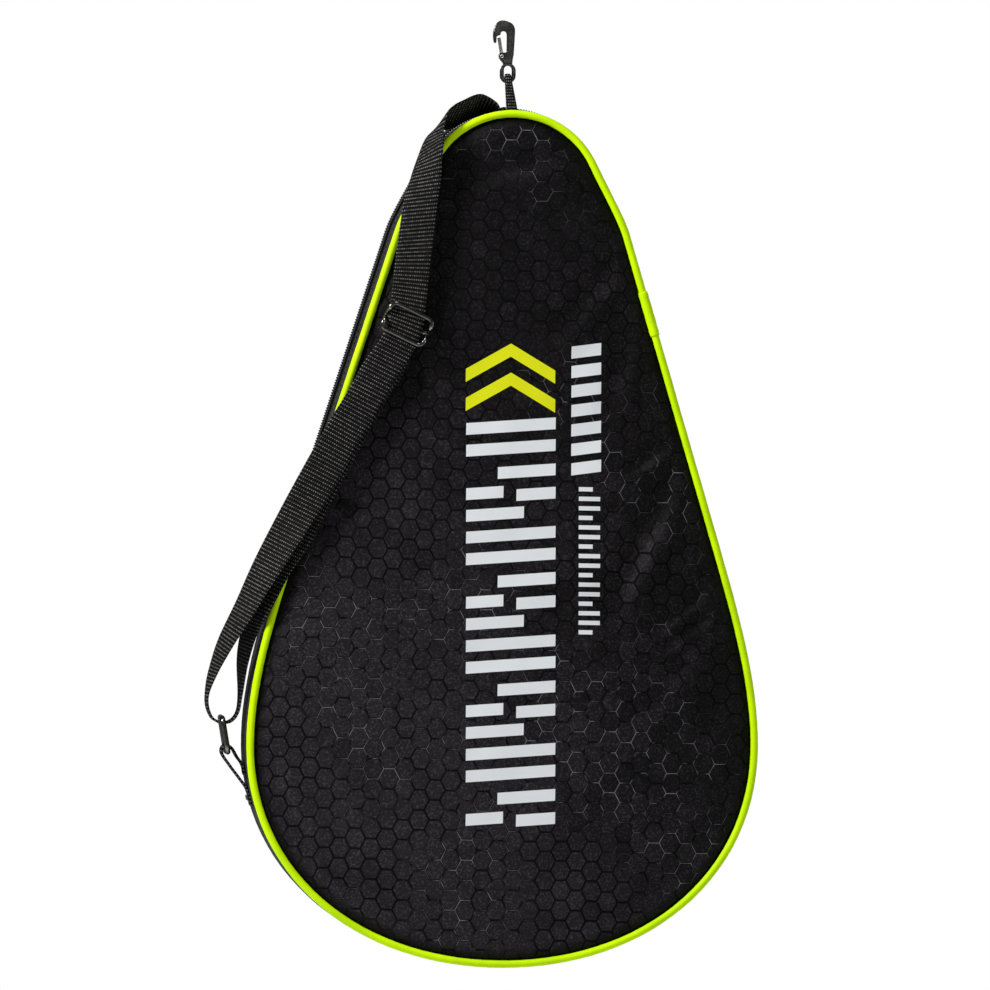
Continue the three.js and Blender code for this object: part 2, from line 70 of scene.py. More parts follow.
# The case's own centre line, mid depth and lowest rim point, found from the front piping.
rim_low, rim_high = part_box("front_piping")
ORIGIN = Vector(((rim_low.x + rim_high.x) / 2, (rim_low.y + rim_high.y) / 2 + 0.024, rim_low.z))


def place(x, y, z):
    """A point of the case, in millimetres, as a point of the row frame, in metres."""
    return (ORIGIN.x + x / 1000, ORIGIN.y + y / 1000, ORIGIN.z + z / 1000)


def places(points):
    return np.asarray(points, float) / 1000 + np.array(ORIGIN)


# ---------------------------------------------------------------- mesh helpers
def mesh_object(name, verts, faces, uvs=None):
    """A mesh object from row-frame vertices, with an optional UV pair for each vertex."""
    mesh = bpy.data.meshes.new(name)
    mesh.from_pydata([tuple(v) for v in verts], [], [tuple(f) for f in faces])
    if uvs is not None:
        layer = mesh.uv_layers.new(name="UVMap")
        flat = np.asarray(uvs, float)
        loops = np.empty(len(mesh.loops), np.int32)
        mesh.loops.foreach_get("vertex_index", loops)
        layer.data.foreach_set("uv", flat[loops].ravel())
    for polygon in mesh.polygons:
        polygon.use_smooth = True
    obj = bpy.data.objects.new(name, mesh)
    bpy.context.collection.objects.link(obj)
    return obj


def point_outwards(obj):
    bm = bmesh.new()
    bm.from_mesh(obj.data)
    bmesh.ops.recalc_face_normals(bm, faces=bm.faces)
    if bm.calc_volume(signed=True) < 0:
        bmesh.ops.reverse_faces(bm, faces=bm.faces)
    bm.to_mesh(obj.data)
    bm.free()
    return obj


def baked(obj):
    """The object's evaluated shape as a plain mesh, with its modifiers removed."""
    depsgraph = bpy.context.evaluated_depsgraph_get()
    depsgraph.update()
    mesh = bpy.data.meshes.new_from_object(obj.evaluated_get(depsgraph))
    old = obj.data
    obj.modifiers.clear()
    obj.data = mesh
    bpy.data.meshes.remove(old)
    return obj


def ring_loft(name, rings, uvs=None, closed=False):
    """A skin over rings of points that all have the same count; open ends get caps."""
    rings = np.asarray(rings, float)
    count, sides = rings.shape[:2]
    faces = []
    for i in range(count if closed else count - 1):
        j = (i + 1) % count
        for k in range(sides):
            m = (k + 1) % sides
            faces.append((i * sides + k, i * sides + m, j * sides + m, j * sides + k))
    if not closed:
        faces.append(tuple(range(sides - 1, -1, -1)))
        faces.append(tuple((count - 1) * sides + k for k in range(sides)))
    return point_outwards(mesh_object(name, rings.reshape(-1, 3), faces, uvs))


def finish_piece(obj, material, body, slot, *nodes):
    obj.data.materials.clear()
    obj.data.materials.append(material)
    if nodes:
        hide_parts(*nodes)
    if body:
        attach(obj, body)
    return obj


def smooth_noise(points, size, seed):
    """Soft repeatable noise between -1 and 1, summed from waves in fixed pseudo-random directions."""
    rng = np.random.default_rng(seed)
    total = np.zeros(len(points))
    for octave in range(9):
        direction = rng.normal(size=points.shape[1])
        direction /= np.linalg.norm(direction)
        wave = 2 * math.pi / (size * rng.uniform(0.7, 1.7))
        total += np.sin(points @ direction * wave + rng.uniform(0, 6.28))
    return total / 4.2


# ---------------------------------------------------------------- the rim
def bezier(p0, p1, p2, p3, count):
    t = np.linspace(0, 1, count, endpoint=False)[:, None]
    p0, p1, p2, p3 = (np.array(p, float) for p in (p0, p1, p2, p3))
    return (1 - t) ** 3 * p0 + 3 * (1 - t) ** 2 * t * p1 + 3 * (1 - t) * t**2 * p2 + t**3 * p3


def rim_points(spacing=2.5):
    """The rim from the bottom up the right side, over the top and down the left, evenly spaced."""
    top_centre = CASE_HEIGHT - TOP_RADIUS
    start = math.asin(22.1 / TOP_RADIUS)
    angles = np.linspace(start, math.pi / 2, 40)
    arc = np.stack([TOP_RADIUS * np.cos(angles), top_centre + TOP_RADIUS * np.sin(angles)], 1)
    half = np.concatenate([
        bezier((0, 0), (79, 0), (HALF_WIDTH, 49), (HALF_WIDTH, 119), 90),
        bezier((HALF_WIDTH, 119), (HALF_WIDTH, 154), (125.4, 193), FLANK_LOW, 60),
        np.linspace(FLANK_LOW, FLANK_HIGH, 80, endpoint=False),
        bezier(FLANK_HIGH, (60.6, 402), (51.5, 417.5), (44.5, 431.4), 20),
        arc,
    ])
    left = half[1:-1][::-1] * (-1, 1)
    loop = np.concatenate([half, left, half[:1]])
    lengths = np.concatenate([[0], np.cumsum(np.linalg.norm(np.diff(loop, axis=0), axis=1))])
    count = int(round(lengths[-1] / spacing))
    along = np.linspace(0, lengths[-1], count, endpoint=False)
    return np.stack([np.interp(along, lengths, loop[:, k]) for k in (0, 1)], 1)


RIM = rim_points()


def outward(points, closed):
    """Outward unit direction at each rim point."""
    if closed:
        along = np.roll(points, -1, 0) - np.roll(points, 1, 0)
    else:
        along = np.gradient(points, axis=0)
    along /= np.linalg.norm(along, axis=1)[:, None]
    return np.stack([along[:, 1], -along[:, 0]], 1)


def flank(z, side):
    return np.array([side * (FLANK_LOW[0] - (z - FLANK_LOW[1]) * math.tan(LEAN)), z])


def rim_above(z):
    kept = RIM[RIM[:, 1] > z + 0.8]
    return np.concatenate([[flank(z, 1)], kept, [flank(z, -1)]])


def rim_below(z):
    right = RIM[(RIM[:, 1] < z - 0.8) & (RIM[:, 0] >= 0)]
    left = RIM[(RIM[:, 1] < z - 0.8) & (RIM[:, 0] < 0)]
    return np.concatenate([[flank(z, -1)], left, right, [flank(z, 1)]])


def run_length(points):
    return np.concatenate([[0], np.cumsum(np.linalg.norm(np.diff(points, axis=0), axis=1))])


# ---------------------------------------------------------------- shader groups
def new_group(name, inputs, outputs):
    tree = bpy.data.node_groups.new(name, "ShaderNodeTree")
    for label, kind, value in inputs:
        socket = tree.interface.new_socket(label, in_out="INPUT", socket_type=kind)
        if value is not None:
            socket.default_value = value
    for label, kind in outputs:
        tree.interface.new_socket(label, in_out="OUTPUT", socket_type=kind)
    return tree, Nodes(tree)


class Nodes:
    """Short way to add nodes to a tree and link them; a tuple or number sets a socket's value."""

    def __init__(self, tree):
        self.tree = tree

    def add(self, kind, settings=None, **inputs):
        node = self.tree.nodes.new(kind)
        for key, value in (settings or {}).items():
            setattr(node, key, value)
        for key, value in inputs.items():
            self.set(node, key, value)
        return node

    def set(self, node, key, value):
        name = key[1:] if key.startswith("_") else key
        socket = node.inputs[int(name)] if name.isdigit() else node.inputs[name.replace("_", " ")]
        if isinstance(value, bpy.types.NodeSocket):
            self.tree.links.new(value, socket)
        else:
            socket.default_value = value

    def math(self, operation, a, b=None, c=None, clamp=False):
        node = self.add("ShaderNodeMath", {"operation": operation, "use_clamp": clamp}, _0=a)
        for key, value in (("_1", b), ("_2", c)):
            if value is not None:
                self.set(node, key, value)
        return node.outputs[0]

    def times(self, a, b, clamp=False):
        return self.math("MULTIPLY", a, b, clamp=clamp)

    def plus(self, a, b):
        return self.math("ADD", a, b)

    def vector(self, operation, a, b=None, c=None):
        node = self.add("ShaderNodeVectorMath", {"operation": operation}, _0=a)
        for key, value in (("_1", b), ("_2", c)):
            if value is not None:
                self.set(node, key, value)
        scalar = operation in ("DOT_PRODUCT", "LENGTH", "DISTANCE")
        return node.outputs[1 if scalar else 0]

    def smooth(self, value, low, high, to_low=0.0, to_high=1.0):
        node = self.add("ShaderNodeMapRange", {"interpolation_type": "SMOOTHSTEP"}, _0=value)
        for index, number in enumerate((low, high, to_low, to_high), 1):
            node.inputs[index].default_value = number
        return node.outputs[0]

    def mix(self, factor, a, b):
        node = self.add("ShaderNodeMix", {"data_type": "RGBA"})
        self.set(node, "_0", factor)
        self.set(node, "_6", a)
        self.set(node, "_7", b)
        return node.outputs[2]

    def noise(self, vector, scale, detail=2.0, roughness=0.5):
        fixed = {"Scale": scale, "Detail": detail, "Roughness": roughness}
        return self.add("ShaderNodeTexNoise", Vector=vector, **fixed).outputs[0]

    def random(self, vector, dimensions):
        kind = {"noise_dimensions": dimensions}
        return self.add("ShaderNodeTexWhiteNoise", kind, Vector=vector).outputs[0]


def group_ends(nodes):
    return nodes.add("NodeGroupInput").outputs, nodes.add("NodeGroupOutput")


def make_weave_group():
    """Plain weave: over-and-under threads with the given pitch, in the units of its coordinates."""
    tree, n = new_group("thread_weave", [
        ("Coordinates", "NodeSocketVector", None), ("Thread Pitch", "NodeSocketFloat", 0.5),
        ("Slant", "NodeSocketFloat", 0.0),
    ], [("Height", "NodeSocketFloat"), ("Thread Tone", "NodeSocketFloat")])
    source, out = group_ends(n)
    scaled = n.vector("SCALE", source["Coordinates"])
    n.tree.links.new(n.math("DIVIDE", 3.14159, source["Thread Pitch"]), scaled.node.inputs[3])
    split = n.add("ShaderNodeSeparateXYZ", Vector=scaled).outputs
    slanted = n.plus(split[0], n.times(split[1], source["Slant"]))
    warp = n.math("ABSOLUTE", n.math("SINE", slanted))
    weft = n.math("ABSOLUTE", n.math("SINE", split[1]))
    over = n.math("GREATER_THAN", n.times(n.math("SINE", slanted), n.math("SINE", split[1])), 0.0)
    tone = n.add("ShaderNodeMix", {"data_type": "FLOAT"})
    n.set(tone, "_0", over)
    n.set(tone, "_2", warp)
    n.set(tone, "_3", weft)
    n.set(out, "Height", tone.outputs[0])
    fleck = n.noise(scaled, 0.33, 3.0, 0.7)
    n.set(out, "Thread Tone", n.times(tone.outputs[0], n.plus(0.55, fleck)))
    return tree


def make_dust_group():
    """Dust and lint: pale specks and a faint film, both placed by noise."""
    tree, n = new_group("dust_film", [
        ("Coordinates", "NodeSocketVector", None), ("Amount", "NodeSocketFloat", 0.3),
    ], [("Mask", "NodeSocketFloat")])
    source, out = group_ends(n)
    film = n.smooth(n.noise(source["Coordinates"], 28.0, 4.0, 0.65), 0.45, 0.8)
    specks = n.smooth(n.noise(source["Coordinates"], 1500.0, 1.0), 0.73, 0.8)
    both = n.plus(n.times(film, 0.35), n.times(specks, 0.8))
    n.set(out, "Mask", n.times(both, source["Amount"], clamp=True))
    return tree


def make_edge_wear_group():
    """Bright worn edges: where the surface turns sharply, broken up by noise."""
    tree, n = new_group("edge_wear", [
        ("Coordinates", "NodeSocketVector", None), ("Amount", "NodeSocketFloat", 0.5),
    ], [("Mask", "NodeSocketFloat")])
    source, out = group_ends(n)
    pointy = n.add("ShaderNodeNewGeometry").outputs["Pointiness"]
    edge = n.smooth(pointy, 0.52, 0.6)
    broken = n.smooth(n.noise(source["Coordinates"], 900.0, 3.0), 0.35, 0.65)
    n.set(out, "Mask", n.times(n.times(edge, broken), source["Amount"], clamp=True))
    return tree


def make_hexagon_group():
    """Flat-topped hexagons: distance from the cell's edge (0 at the edge) and a value for each cell."""
    tree, n = new_group("hexagon_cells", [
        ("Coordinates", "NodeSocketVector", None), ("Column Pitch", "NodeSocketFloat", 8.45),
        ("Row Pitch", "NodeSocketFloat", 10.7),
    ], [("Edge Distance", "NodeSocketFloat"), ("Cell", "NodeSocketVector")])
    source, out = group_ends(n)
    split = n.add("ShaderNodeSeparateXYZ", Vector=source["Coordinates"]).outputs
    across = n.times(n.math("DIVIDE", split[0], source["Column Pitch"]), 1.5)
    up = n.times(n.math("DIVIDE", split[1], source["Row Pitch"]), 1.7320508)
    point = n.add("ShaderNodeCombineXYZ", X=across, Y=up, Z=0.0).outputs[0]
    period = (3.0, 1.7320508, 1.0)
    middle = (1.5, 0.8660254, 0.0)

    def cell(vector):
        return n.vector("SUBTRACT", n.vector("WRAP", vector, period, (0.0, 0.0, 0.0)), middle)

    first = cell(point)
    second = cell(n.vector("SUBTRACT", point, middle))
    sizes = [n.vector("DOT_PRODUCT", place, place) for place in (first, second)]
    nearer = n.math("LESS_THAN", *sizes)
    pick = n.add("ShaderNodeMix", {"data_type": "VECTOR"})
    n.set(pick, "_0", nearer)
    n.set(pick, "_4", second)
    n.set(pick, "_5", first)
    inner = pick.outputs[1]
    size = n.add("ShaderNodeSeparateXYZ", Vector=n.vector("ABSOLUTE", inner)).outputs
    slanted = n.plus(n.times(size[0], 0.8660254), n.times(size[1], 0.5))
    n.set(out, "Edge Distance", n.math("SUBTRACT", 0.8660254, n.math("MAXIMUM", slanted, size[1])))
    n.set(out, "Cell", n.vector("SUBTRACT", point, inner))
    return tree


WEAVE = make_weave_group()
DUST = make_dust_group()
WEAR = make_edge_wear_group()
HEXAGONS = make_hexagon_group()


def use_group(n, tree, **inputs):
    node = n.add("ShaderNodeGroup", {"node_tree": tree})
    for key, value in inputs.items():
        n.set(node, key, value)
    return node.outputs


def material(name, roughness, **fixed):
    """A new material with its Principled shader; fixed numbers are set on the shader's own sockets."""
    made = bpy.data.materials.new(name)
    made.use_nodes = True
    shader = made.node_tree.nodes["Principled BSDF"]
    shader.inputs["Roughness"].default_value = roughness
    for key, value in fixed.items():
        shader.inputs[key.replace("_", " ")].default_value = value
    return made, Nodes(made.node_tree), shader


def in_millimetres(n, metres, shift=(0.0, 0.0, 0.0)):
    return n.vector("MULTIPLY_ADD", metres, (1000.0, 1000.0, 1000.0), shift)


def object_millimetres(n, shift=(0.0, 0.0, 0.0)):
    """Object coordinates in millimetres, with the panel's width on X and its height on Y."""
    here = n.add("ShaderNodeTexCoord").outputs["Object"]
    split = n.add("ShaderNodeSeparateXYZ", Vector=here).outputs
    flat = n.add("ShaderNodeCombineXYZ", X=split[0], Y=split[2], Z=split[1]).outputs[0]
    return here, in_millimetres(n, flat, shift)


def uv_millimetres(n):
    return in_millimetres(n, n.add("ShaderNodeTexCoord").outputs["UV"])


# ---------------------------------------------------------------- materials
def object_place(n):
    return n.add("ShaderNodeTexCoord").outputs["Object"]


def weaker(colour, share):
    return tuple(share * c for c in colour[:3]) + (1,)


def finish_shader(made, n, shader, colour, roughness, height, strength, depth):
    """Links colour, roughness and relief to the shader, and returns the finished material."""
    relief = n.add("ShaderNodeBump", Height=height, Strength=strength, Distance=depth)
    for label, source in (("Base Color", colour), ("Roughness", roughness), ("Normal", relief.outputs[0])):
        n.set(shader, label, source)
    return made


def ripstop_cloth():
    """Charcoal cloth with a woven hexagon grid: dark grooves, pale dotted threads in patches."""
    made, n, shader = material("charcoal_hexagon_cloth", 0.55, Specular_IOR_Level=0.07)
    here, flat = object_millimetres(n, (3.1, 4.0, 0.0))
    drift = n.add("ShaderNodeTexNoise", Vector=flat, Scale=0.02, Detail=1.0).outputs[1]
    wavy = n.vector("MULTIPLY_ADD", drift, (3.0, 3.0, 0.0), flat)
    hexes = use_group(n, HEXAGONS, Coordinates=wavy, Column_Pitch=8.45, Row_Pitch=10.7)
    edge = n.times(hexes["Edge Distance"], 6.1)
    groove = n.smooth(edge, 0.32, 0.75, 1.0, 0.0)
    twill = use_group(n, WEAVE, Coordinates=flat, Thread_Pitch=0.55, Slant=0.5)

    # Tone: a little for each cell, soft regions, and painted light that makes the cloth lighter towards the
    # lower left.
    each_cell = n.random(hexes["Cell"], "3D")
    region = n.noise(flat, 0.016, 3.0, 0.6)
    painted_left_light = n.smooth(n.vector("DOT_PRODUCT", flat, (-1.0, -0.6, 0.0)), 60.0, 330.0)
    tone = n.plus(n.times(each_cell, 0.2), n.times(region, 0.6))
    tone = n.math("MULTIPLY_ADD", painted_left_light, 0.5, tone)
    dark, light = (0.0036, 0.0031, 0.0036, 1), (0.0230, 0.0195, 0.0228, 1)
    cloth = n.mix(n.smooth(tone, 0.3, 1.0), dark, light)

    # Threads: shadow between them, flecks on them, black grooves and a pale dotted line.
    shadow = n.times(n.math("SUBTRACT", 1.0, twill["Thread Tone"]), 0.8, clamp=True)
    cloth = n.mix(shadow, cloth, (0.0018, 0.0016, 0.0019, 1))
    fleck = n.times(n.smooth(n.noise(flat, 0.8, 2.0, 0.8), 0.5, 0.66), n.smooth(tone, 0.2, 1.0, 0.15, 0.7))
    cloth = n.mix(fleck, cloth, (0.065, 0.058, 0.065, 1))
    cloth = n.mix(n.times(groove, 0.93), cloth, (0.0008, 0.0007, 0.0009, 1))
    along = n.vector("DOT_PRODUCT", flat, (1.0, 0.55, 0.0))
    dots = n.smooth(n.math("SINE", n.times(along, 9.0)), -0.2, 0.5)
    line = n.smooth(edge, 0.1, 0.3, 1.0, 0.0)
    broad_patch = n.smooth(n.noise(flat, 0.011, 2.0, 0.6), 0.44, 0.62)
    small_patch = n.smooth(n.noise(flat, 0.12, 2.0, 0.6), 0.42, 0.62)
    pale = n.times(n.times(line, n.times(broad_patch, small_patch)), n.math("MULTIPLY_ADD", dots, 0.6, 0.4))
    cloth = n.mix(n.times(pale, 0.95), cloth, (0.24, 0.232, 0.25, 1))

    seam = n.add("ShaderNodeAttribute", {"attribute_name": "seam_shade"}).outputs["Fac"]
    cloth = n.mix(n.times(seam, 0.85), cloth, (0.0015, 0.0013, 0.0016, 1))
    dust = use_group(n, DUST, Coordinates=here, Amount=0.05)["Mask"]
    cloth = n.mix(dust, cloth, (0.2, 0.19, 0.18, 1))
    roughness = n.math("MULTIPLY_ADD", groove, 0.4, n.math("MULTIPLY_ADD", region, 0.14, 0.34))
    height = n.math("SUBTRACT", n.times(twill["Height"], 0.25), n.times(groove, 0.8))
    return finish_shader(made, n, shader, cloth, roughness, height, 0.8, 0.0003)


def plain_cloth(name, dark, light, pitch, roughness, relief, dust_amount=0.15):
    """A fine woven cloth in one colour, with thread tone, lint and soft variation."""
    fixed = {"Sheen_Weight": 0.04, "Sheen_Roughness": 0.5, "Specular_IOR_Level": 0.25}
    made, n, shader = material(name, roughness, **fixed)
    here = object_place(n)
    weave = use_group(n, WEAVE, Coordinates=uv_millimetres(n), Thread_Pitch=pitch, Slant=0.0)
    broad = n.noise(here, 22.0, 3.0, 0.6)
    tone = n.times(weave["Thread Tone"], n.plus(0.5, broad), clamp=True)
    dust = use_group(n, DUST, Coordinates=here, Amount=dust_amount)["Mask"]
    colour = n.mix(dust, n.mix(tone, dark, light), (0.22, 0.21, 0.2, 1))
    rough = n.math("MULTIPLY_ADD", broad, 0.2, roughness - 0.1)
    return finish_shader(made, n, shader, colour, rough, weave["Height"], 0.7, relief)


def ribbed_webbing(name, rib_pitch, thread_pitch, pale):
    """Webbing with cross ribs and rows of pale dashes; U is across, V along."""
    made, n, shader = material(name, 0.75, Specular_IOR_Level=0.08)
    here = object_place(n)
    flat = uv_millimetres(n)
    split = n.add("ShaderNodeSeparateXYZ", Vector=flat).outputs
    rib = n.math("MULTIPLY_ADD", n.math("SINE", n.times(split[1], 6.28318 / rib_pitch)), 0.5, 0.5)
    offset = n.times(n.math("FLOOR", n.math("DIVIDE", split[1], rib_pitch / 2)), thread_pitch / 2)
    column = n.plus(split[0], offset)
    strand = n.math("MULTIPLY_ADD", n.math("SINE", n.times(column, 6.28318 / thread_pitch)), 0.5, 0.5)
    cell = n.vector("FLOOR", n.vector("DIVIDE", flat, (thread_pitch, rib_pitch / 2, 1.0)))
    speckle = n.random(cell, "2D")
    dash = n.times(n.smooth(rib, 0.68, 0.9), n.smooth(strand, 0.3, 0.65))
    lit = n.times(dash, n.smooth(speckle, 0.0, 1.0, 0.3, 1.0))
    colour = n.mix(strand, (0.0011, 0.0011, 0.0013, 1), (0.005, 0.0048, 0.0052, 1))
    colour = n.mix(n.times(lit, pale), colour, (0.22, 0.21, 0.2, 1))
    dust = use_group(n, DUST, Coordinates=here, Amount=0.06)["Mask"]
    colour = n.mix(dust, colour, (0.2, 0.19, 0.18, 1))
    roughness = n.math("MULTIPLY_ADD", strand, 0.15, 0.65)
    height = n.plus(n.times(rib, 0.6), n.times(strand, 0.4))
    return finish_shader(made, n, shader, colour, roughness, height, 0.9, 0.00045)


def piping_vinyl(name, low, high, shine):
    made, n, shader = material(name, 0.4, Specular_IOR_Level=shine)
    here = object_place(n)
    broad = n.noise(here, 60.0, 3.0)
    dust = use_group(n, DUST, Coordinates=here, Amount=0.12)["Mask"]
    colour = n.mix(dust, n.mix(n.smooth(broad, 0.3, 0.7), low, high), weaker(low, 0.6))
    grain = n.noise(here, 1400.0, 4.0, 0.6)
    roughness = n.math("MULTIPLY_ADD", grain, 0.25, 0.3)
    height = n.plus(grain, n.times(broad, 2.0))
    return finish_shader(made, n, shader, colour, roughness, height, 0.35, 0.0002)


def plated_metal(name, colour, worn, roughness, wear_amount):
    made, n, shader = material(name, roughness, Metallic=1.0)
    here = object_place(n)
    wear = use_group(n, WEAR, Coordinates=here, Amount=wear_amount)["Mask"]
    smear = n.noise(here, 240.0, 4.0, 0.65)
    dust = use_group(n, DUST, Coordinates=here, Amount=0.08)["Mask"]
    smeared = n.mix(n.smooth(smear, 0.3, 0.8), colour, weaker(colour, 0.55))
    base = n.mix(dust, n.mix(wear, smeared, worn), (0.25, 0.24, 0.22, 1))
    rough = n.math("MULTIPLY_ADD", smear, 0.22, roughness - 0.08)
    return finish_shader(made, n, shader, base, rough, n.noise(here, 2200.0, 2.0), 0.15, 0.00008)


def print_film(name, colour):
    """Heat-pressed film: even colour, fine crackle and a little of the cloth's relief."""
    made, n, shader = material(name, 0.5, Specular_IOR_Level=0.4)
    here, flat = object_millimetres(n)
    crackle = n.smooth(n.noise(here, 900.0, 5.0, 0.7), 0.68, 0.76)
    weave = use_group(n, WEAVE, Coordinates=flat, Thread_Pitch=0.55, Slant=0.5)
    film = n.mix(n.times(crackle, 0.35), colour, weaker(colour, 0.35))
    roughness = n.math("MULTIPLY_ADD", crackle, 0.2, 0.45)
    height = n.math("SUBTRACT", n.times(weave["Height"], 0.3), crackle)
    return finish_shader(made, n, shader, film, roughness, height, 0.3, 0.00012)


def nylon_coil():
    made, n, shader = material("zip_coil_nylon", 0.55, Specular_IOR_Level=0.22)
    here = object_place(n)
    tone = n.noise(here, 300.0, 3.0)
    colour = n.mix(tone, (0.003, 0.003, 0.0033, 1), (0.01, 0.01, 0.0105, 1))
    roughness = n.math("MULTIPLY_ADD", tone, 0.2, 0.35)
    return finish_shader(made, n, shader, colour, roughness, n.noise(here, 3000.0, 2.0), 0.2, 0.00005)


def sewing_thread():
    made, n, shader = material("black_sewing_thread", 0.6, Specular_IOR_Level=0.4)
    bands = {"bands_direction": "DIAGONAL"}
    here = object_place(n)
    twist = n.add("ShaderNodeTexWave", bands, Vector=here, Scale=900.0, Distortion=1.0).outputs[1]
    colour = n.mix(twist, (0.012, 0.012, 0.013, 1), (0.07, 0.07, 0.072, 1))
    roughness = n.math("MULTIPLY_ADD", twist, 0.2, 0.5)
    return finish_shader(made, n, shader, colour, roughness, twist, 0.5, 0.0001)


def closed_cell_foam():
    made, n, shader = material("charcoal_closed_cell_foam", 0.9)
    cells = n.add("ShaderNodeTexVoronoi", Vector=object_place(n), Scale=900.0).outputs[0]
    colour = n.mix(n.smooth(cells, 0.1, 0.6), (0.010, 0.010, 0.0105, 1), (0.026, 0.026, 0.027, 1))
    roughness = n.math("MULTIPLY_ADD", cells, 0.1, 0.85)
    return finish_shader(made, n, shader, colour, roughness, cells, 0.5, 0.0002)


HEXAGON_CLOTH = ripstop_cloth()
GUSSET_CLOTH = plain_cloth(
    "black_gusset_cloth", (0.002, 0.002, 0.0022, 1), (0.014, 0.0135, 0.0145, 1), 0.5, 0.8, 0.00015)
TAPE_CLOTH = plain_cloth(
    "black_zip_tape", (0.002, 0.002, 0.002, 1), (0.01, 0.01, 0.0105, 1), 0.7, 0.8, 0.0002)
LINING_CLOTH = plain_cloth(
    "black_lining_cloth", (0.006, 0.006, 0.007, 1), (0.03, 0.03, 0.032, 1), 0.45, 0.65, 0.0001, 0.05)
BRAID = ribbed_webbing("black_flat_braid", 1.6, 1.1, 1.0)
STRAP_WEBBING = ribbed_webbing("black_ribbed_webbing", 2.1, 1.2, 0.9)
PIPING_VINYL = piping_vinyl(
    "lime_piping_vinyl", (0.52, 0.84, 0.0002, 1), (0.62, 0.95, 0.0003, 1), 0.1)
REAR_VINYL = piping_vinyl(
    "black_piping_vinyl", (0.004, 0.004, 0.0043, 1), (0.008, 0.008, 0.0085, 1), 0.4)
GUNMETAL = plated_metal(
    "gunmetal_plating", (0.12, 0.118, 0.115, 1), (0.78, 0.76, 0.73, 1), 0.16, 0.9)
BRIGHT_METAL = plated_metal(
    "polished_gate_metal", (0.62, 0.62, 0.64, 1), (0.8, 0.8, 0.8, 1), 0.2, 0.5)
WHITE_FILM = print_film("white_print_film", (0.76, 0.79, 0.81, 1))
YELLOW_FILM = print_film("yellow_print_film", (0.72, 0.76, 0.0, 1))
ZIP_NYLON = nylon_coil()
THREAD = sewing_thread()
FOAM = closed_cell_foam()

CAD_FINISHES = {
    "foam": FOAM, "lining": LINING_CLOTH, "zip_stop": GUNMETAL, "gate_pin": GUNMETAL,
    "tape": TAPE_CLOTH, "bartack": THREAD,
}
for name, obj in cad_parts.items():
    chosen = next((finish for key, finish in CAD_FINISHES.items() if key in name), None)
    if chosen:
        obj.data.materials.clear()
        obj.data.materials.append(chosen)


# ---------------------------------------------------------------- padded panels
def inset_loop(points, inset, closed=True):
    return points - outward(points, closed) * inset


def edge_distance(points, loop):
    """Distance in millimetres from each point to a closed outline."""
    a = loop
    b = np.roll(loop, -1, 0)
    nearest = np.full(len(points), 1e9)
    for p, q in zip(a, b):
        d = q - p
        t = np.clip(((points - p) @ d) / (d @ d), 0, 1)
        nearest = np.minimum(nearest, np.linalg.norm(points - (p + t[:, None] * d), axis=1))
    return nearest


def filled_outline(loop, spacing):
    """A flat, evenly divided sheet inside a closed outline: its points (x, z) and its triangles."""
    low, high = loop.min(0), loop.max(0)
    grid = []
    rows = np.arange(low[1] + spacing * 0.5, high[1], spacing * 0.866)
    for k, z in enumerate(rows):
        shift = spacing / 2 if k % 2 else 0.0
        for x in np.arange(low[0] + shift, high[0], spacing):
            grid.append((x, z))
    grid = np.array(grid)
    keep = inside_outline(grid, loop) & (edge_distance(grid, loop) > spacing * 0.6)
    verts = np.concatenate([loop, grid[keep]])
    edges = [(i, (i + 1) % len(loop)) for i in range(len(loop))]
    result = delaunay_2d_cdt([Vector(v) for v in verts], edges, [], 1, 1e-5)
    flat = np.array([tuple(v) for v in result[0]])
    return flat, [tuple(f) for f in result[2]]


def inside_outline(points, loop):
    inside = np.zeros(len(points), bool)
    a, b = loop, np.roll(loop, -1, 0)
    for (x0, z0), (x1, z1) in zip(a, b):
        crosses = (z0 > points[:, 1]) != (z1 > points[:, 1])
        if z0 != z1:
            at = x0 + (points[:, 1] - z0) / (z1 - z0) * (x1 - x0)
            inside ^= crosses & (points[:, 0] < at)
    return inside


def crease(points, start, end, width, depth, bow=0.0):
    """A soft fold from start to end: a ridge beside a valley, fading out at both ends."""
    start, end = np.array(start, float), np.array(end, float)
    along = end - start
    length = np.linalg.norm(along)
    along /= length
    side = np.array([-along[1], along[0]])
    t = (points - start) @ along / length
    s = (points - start) @ side - bow * 4 * t * (1 - t)
    fade = np.clip(t * (1 - t) * 4, 0, 1) ** 0.7 * (t > 0) * (t < 1)
    return 2.2 * depth * fade * (s / width) * np.exp(0.5 - (s / width) ** 2)


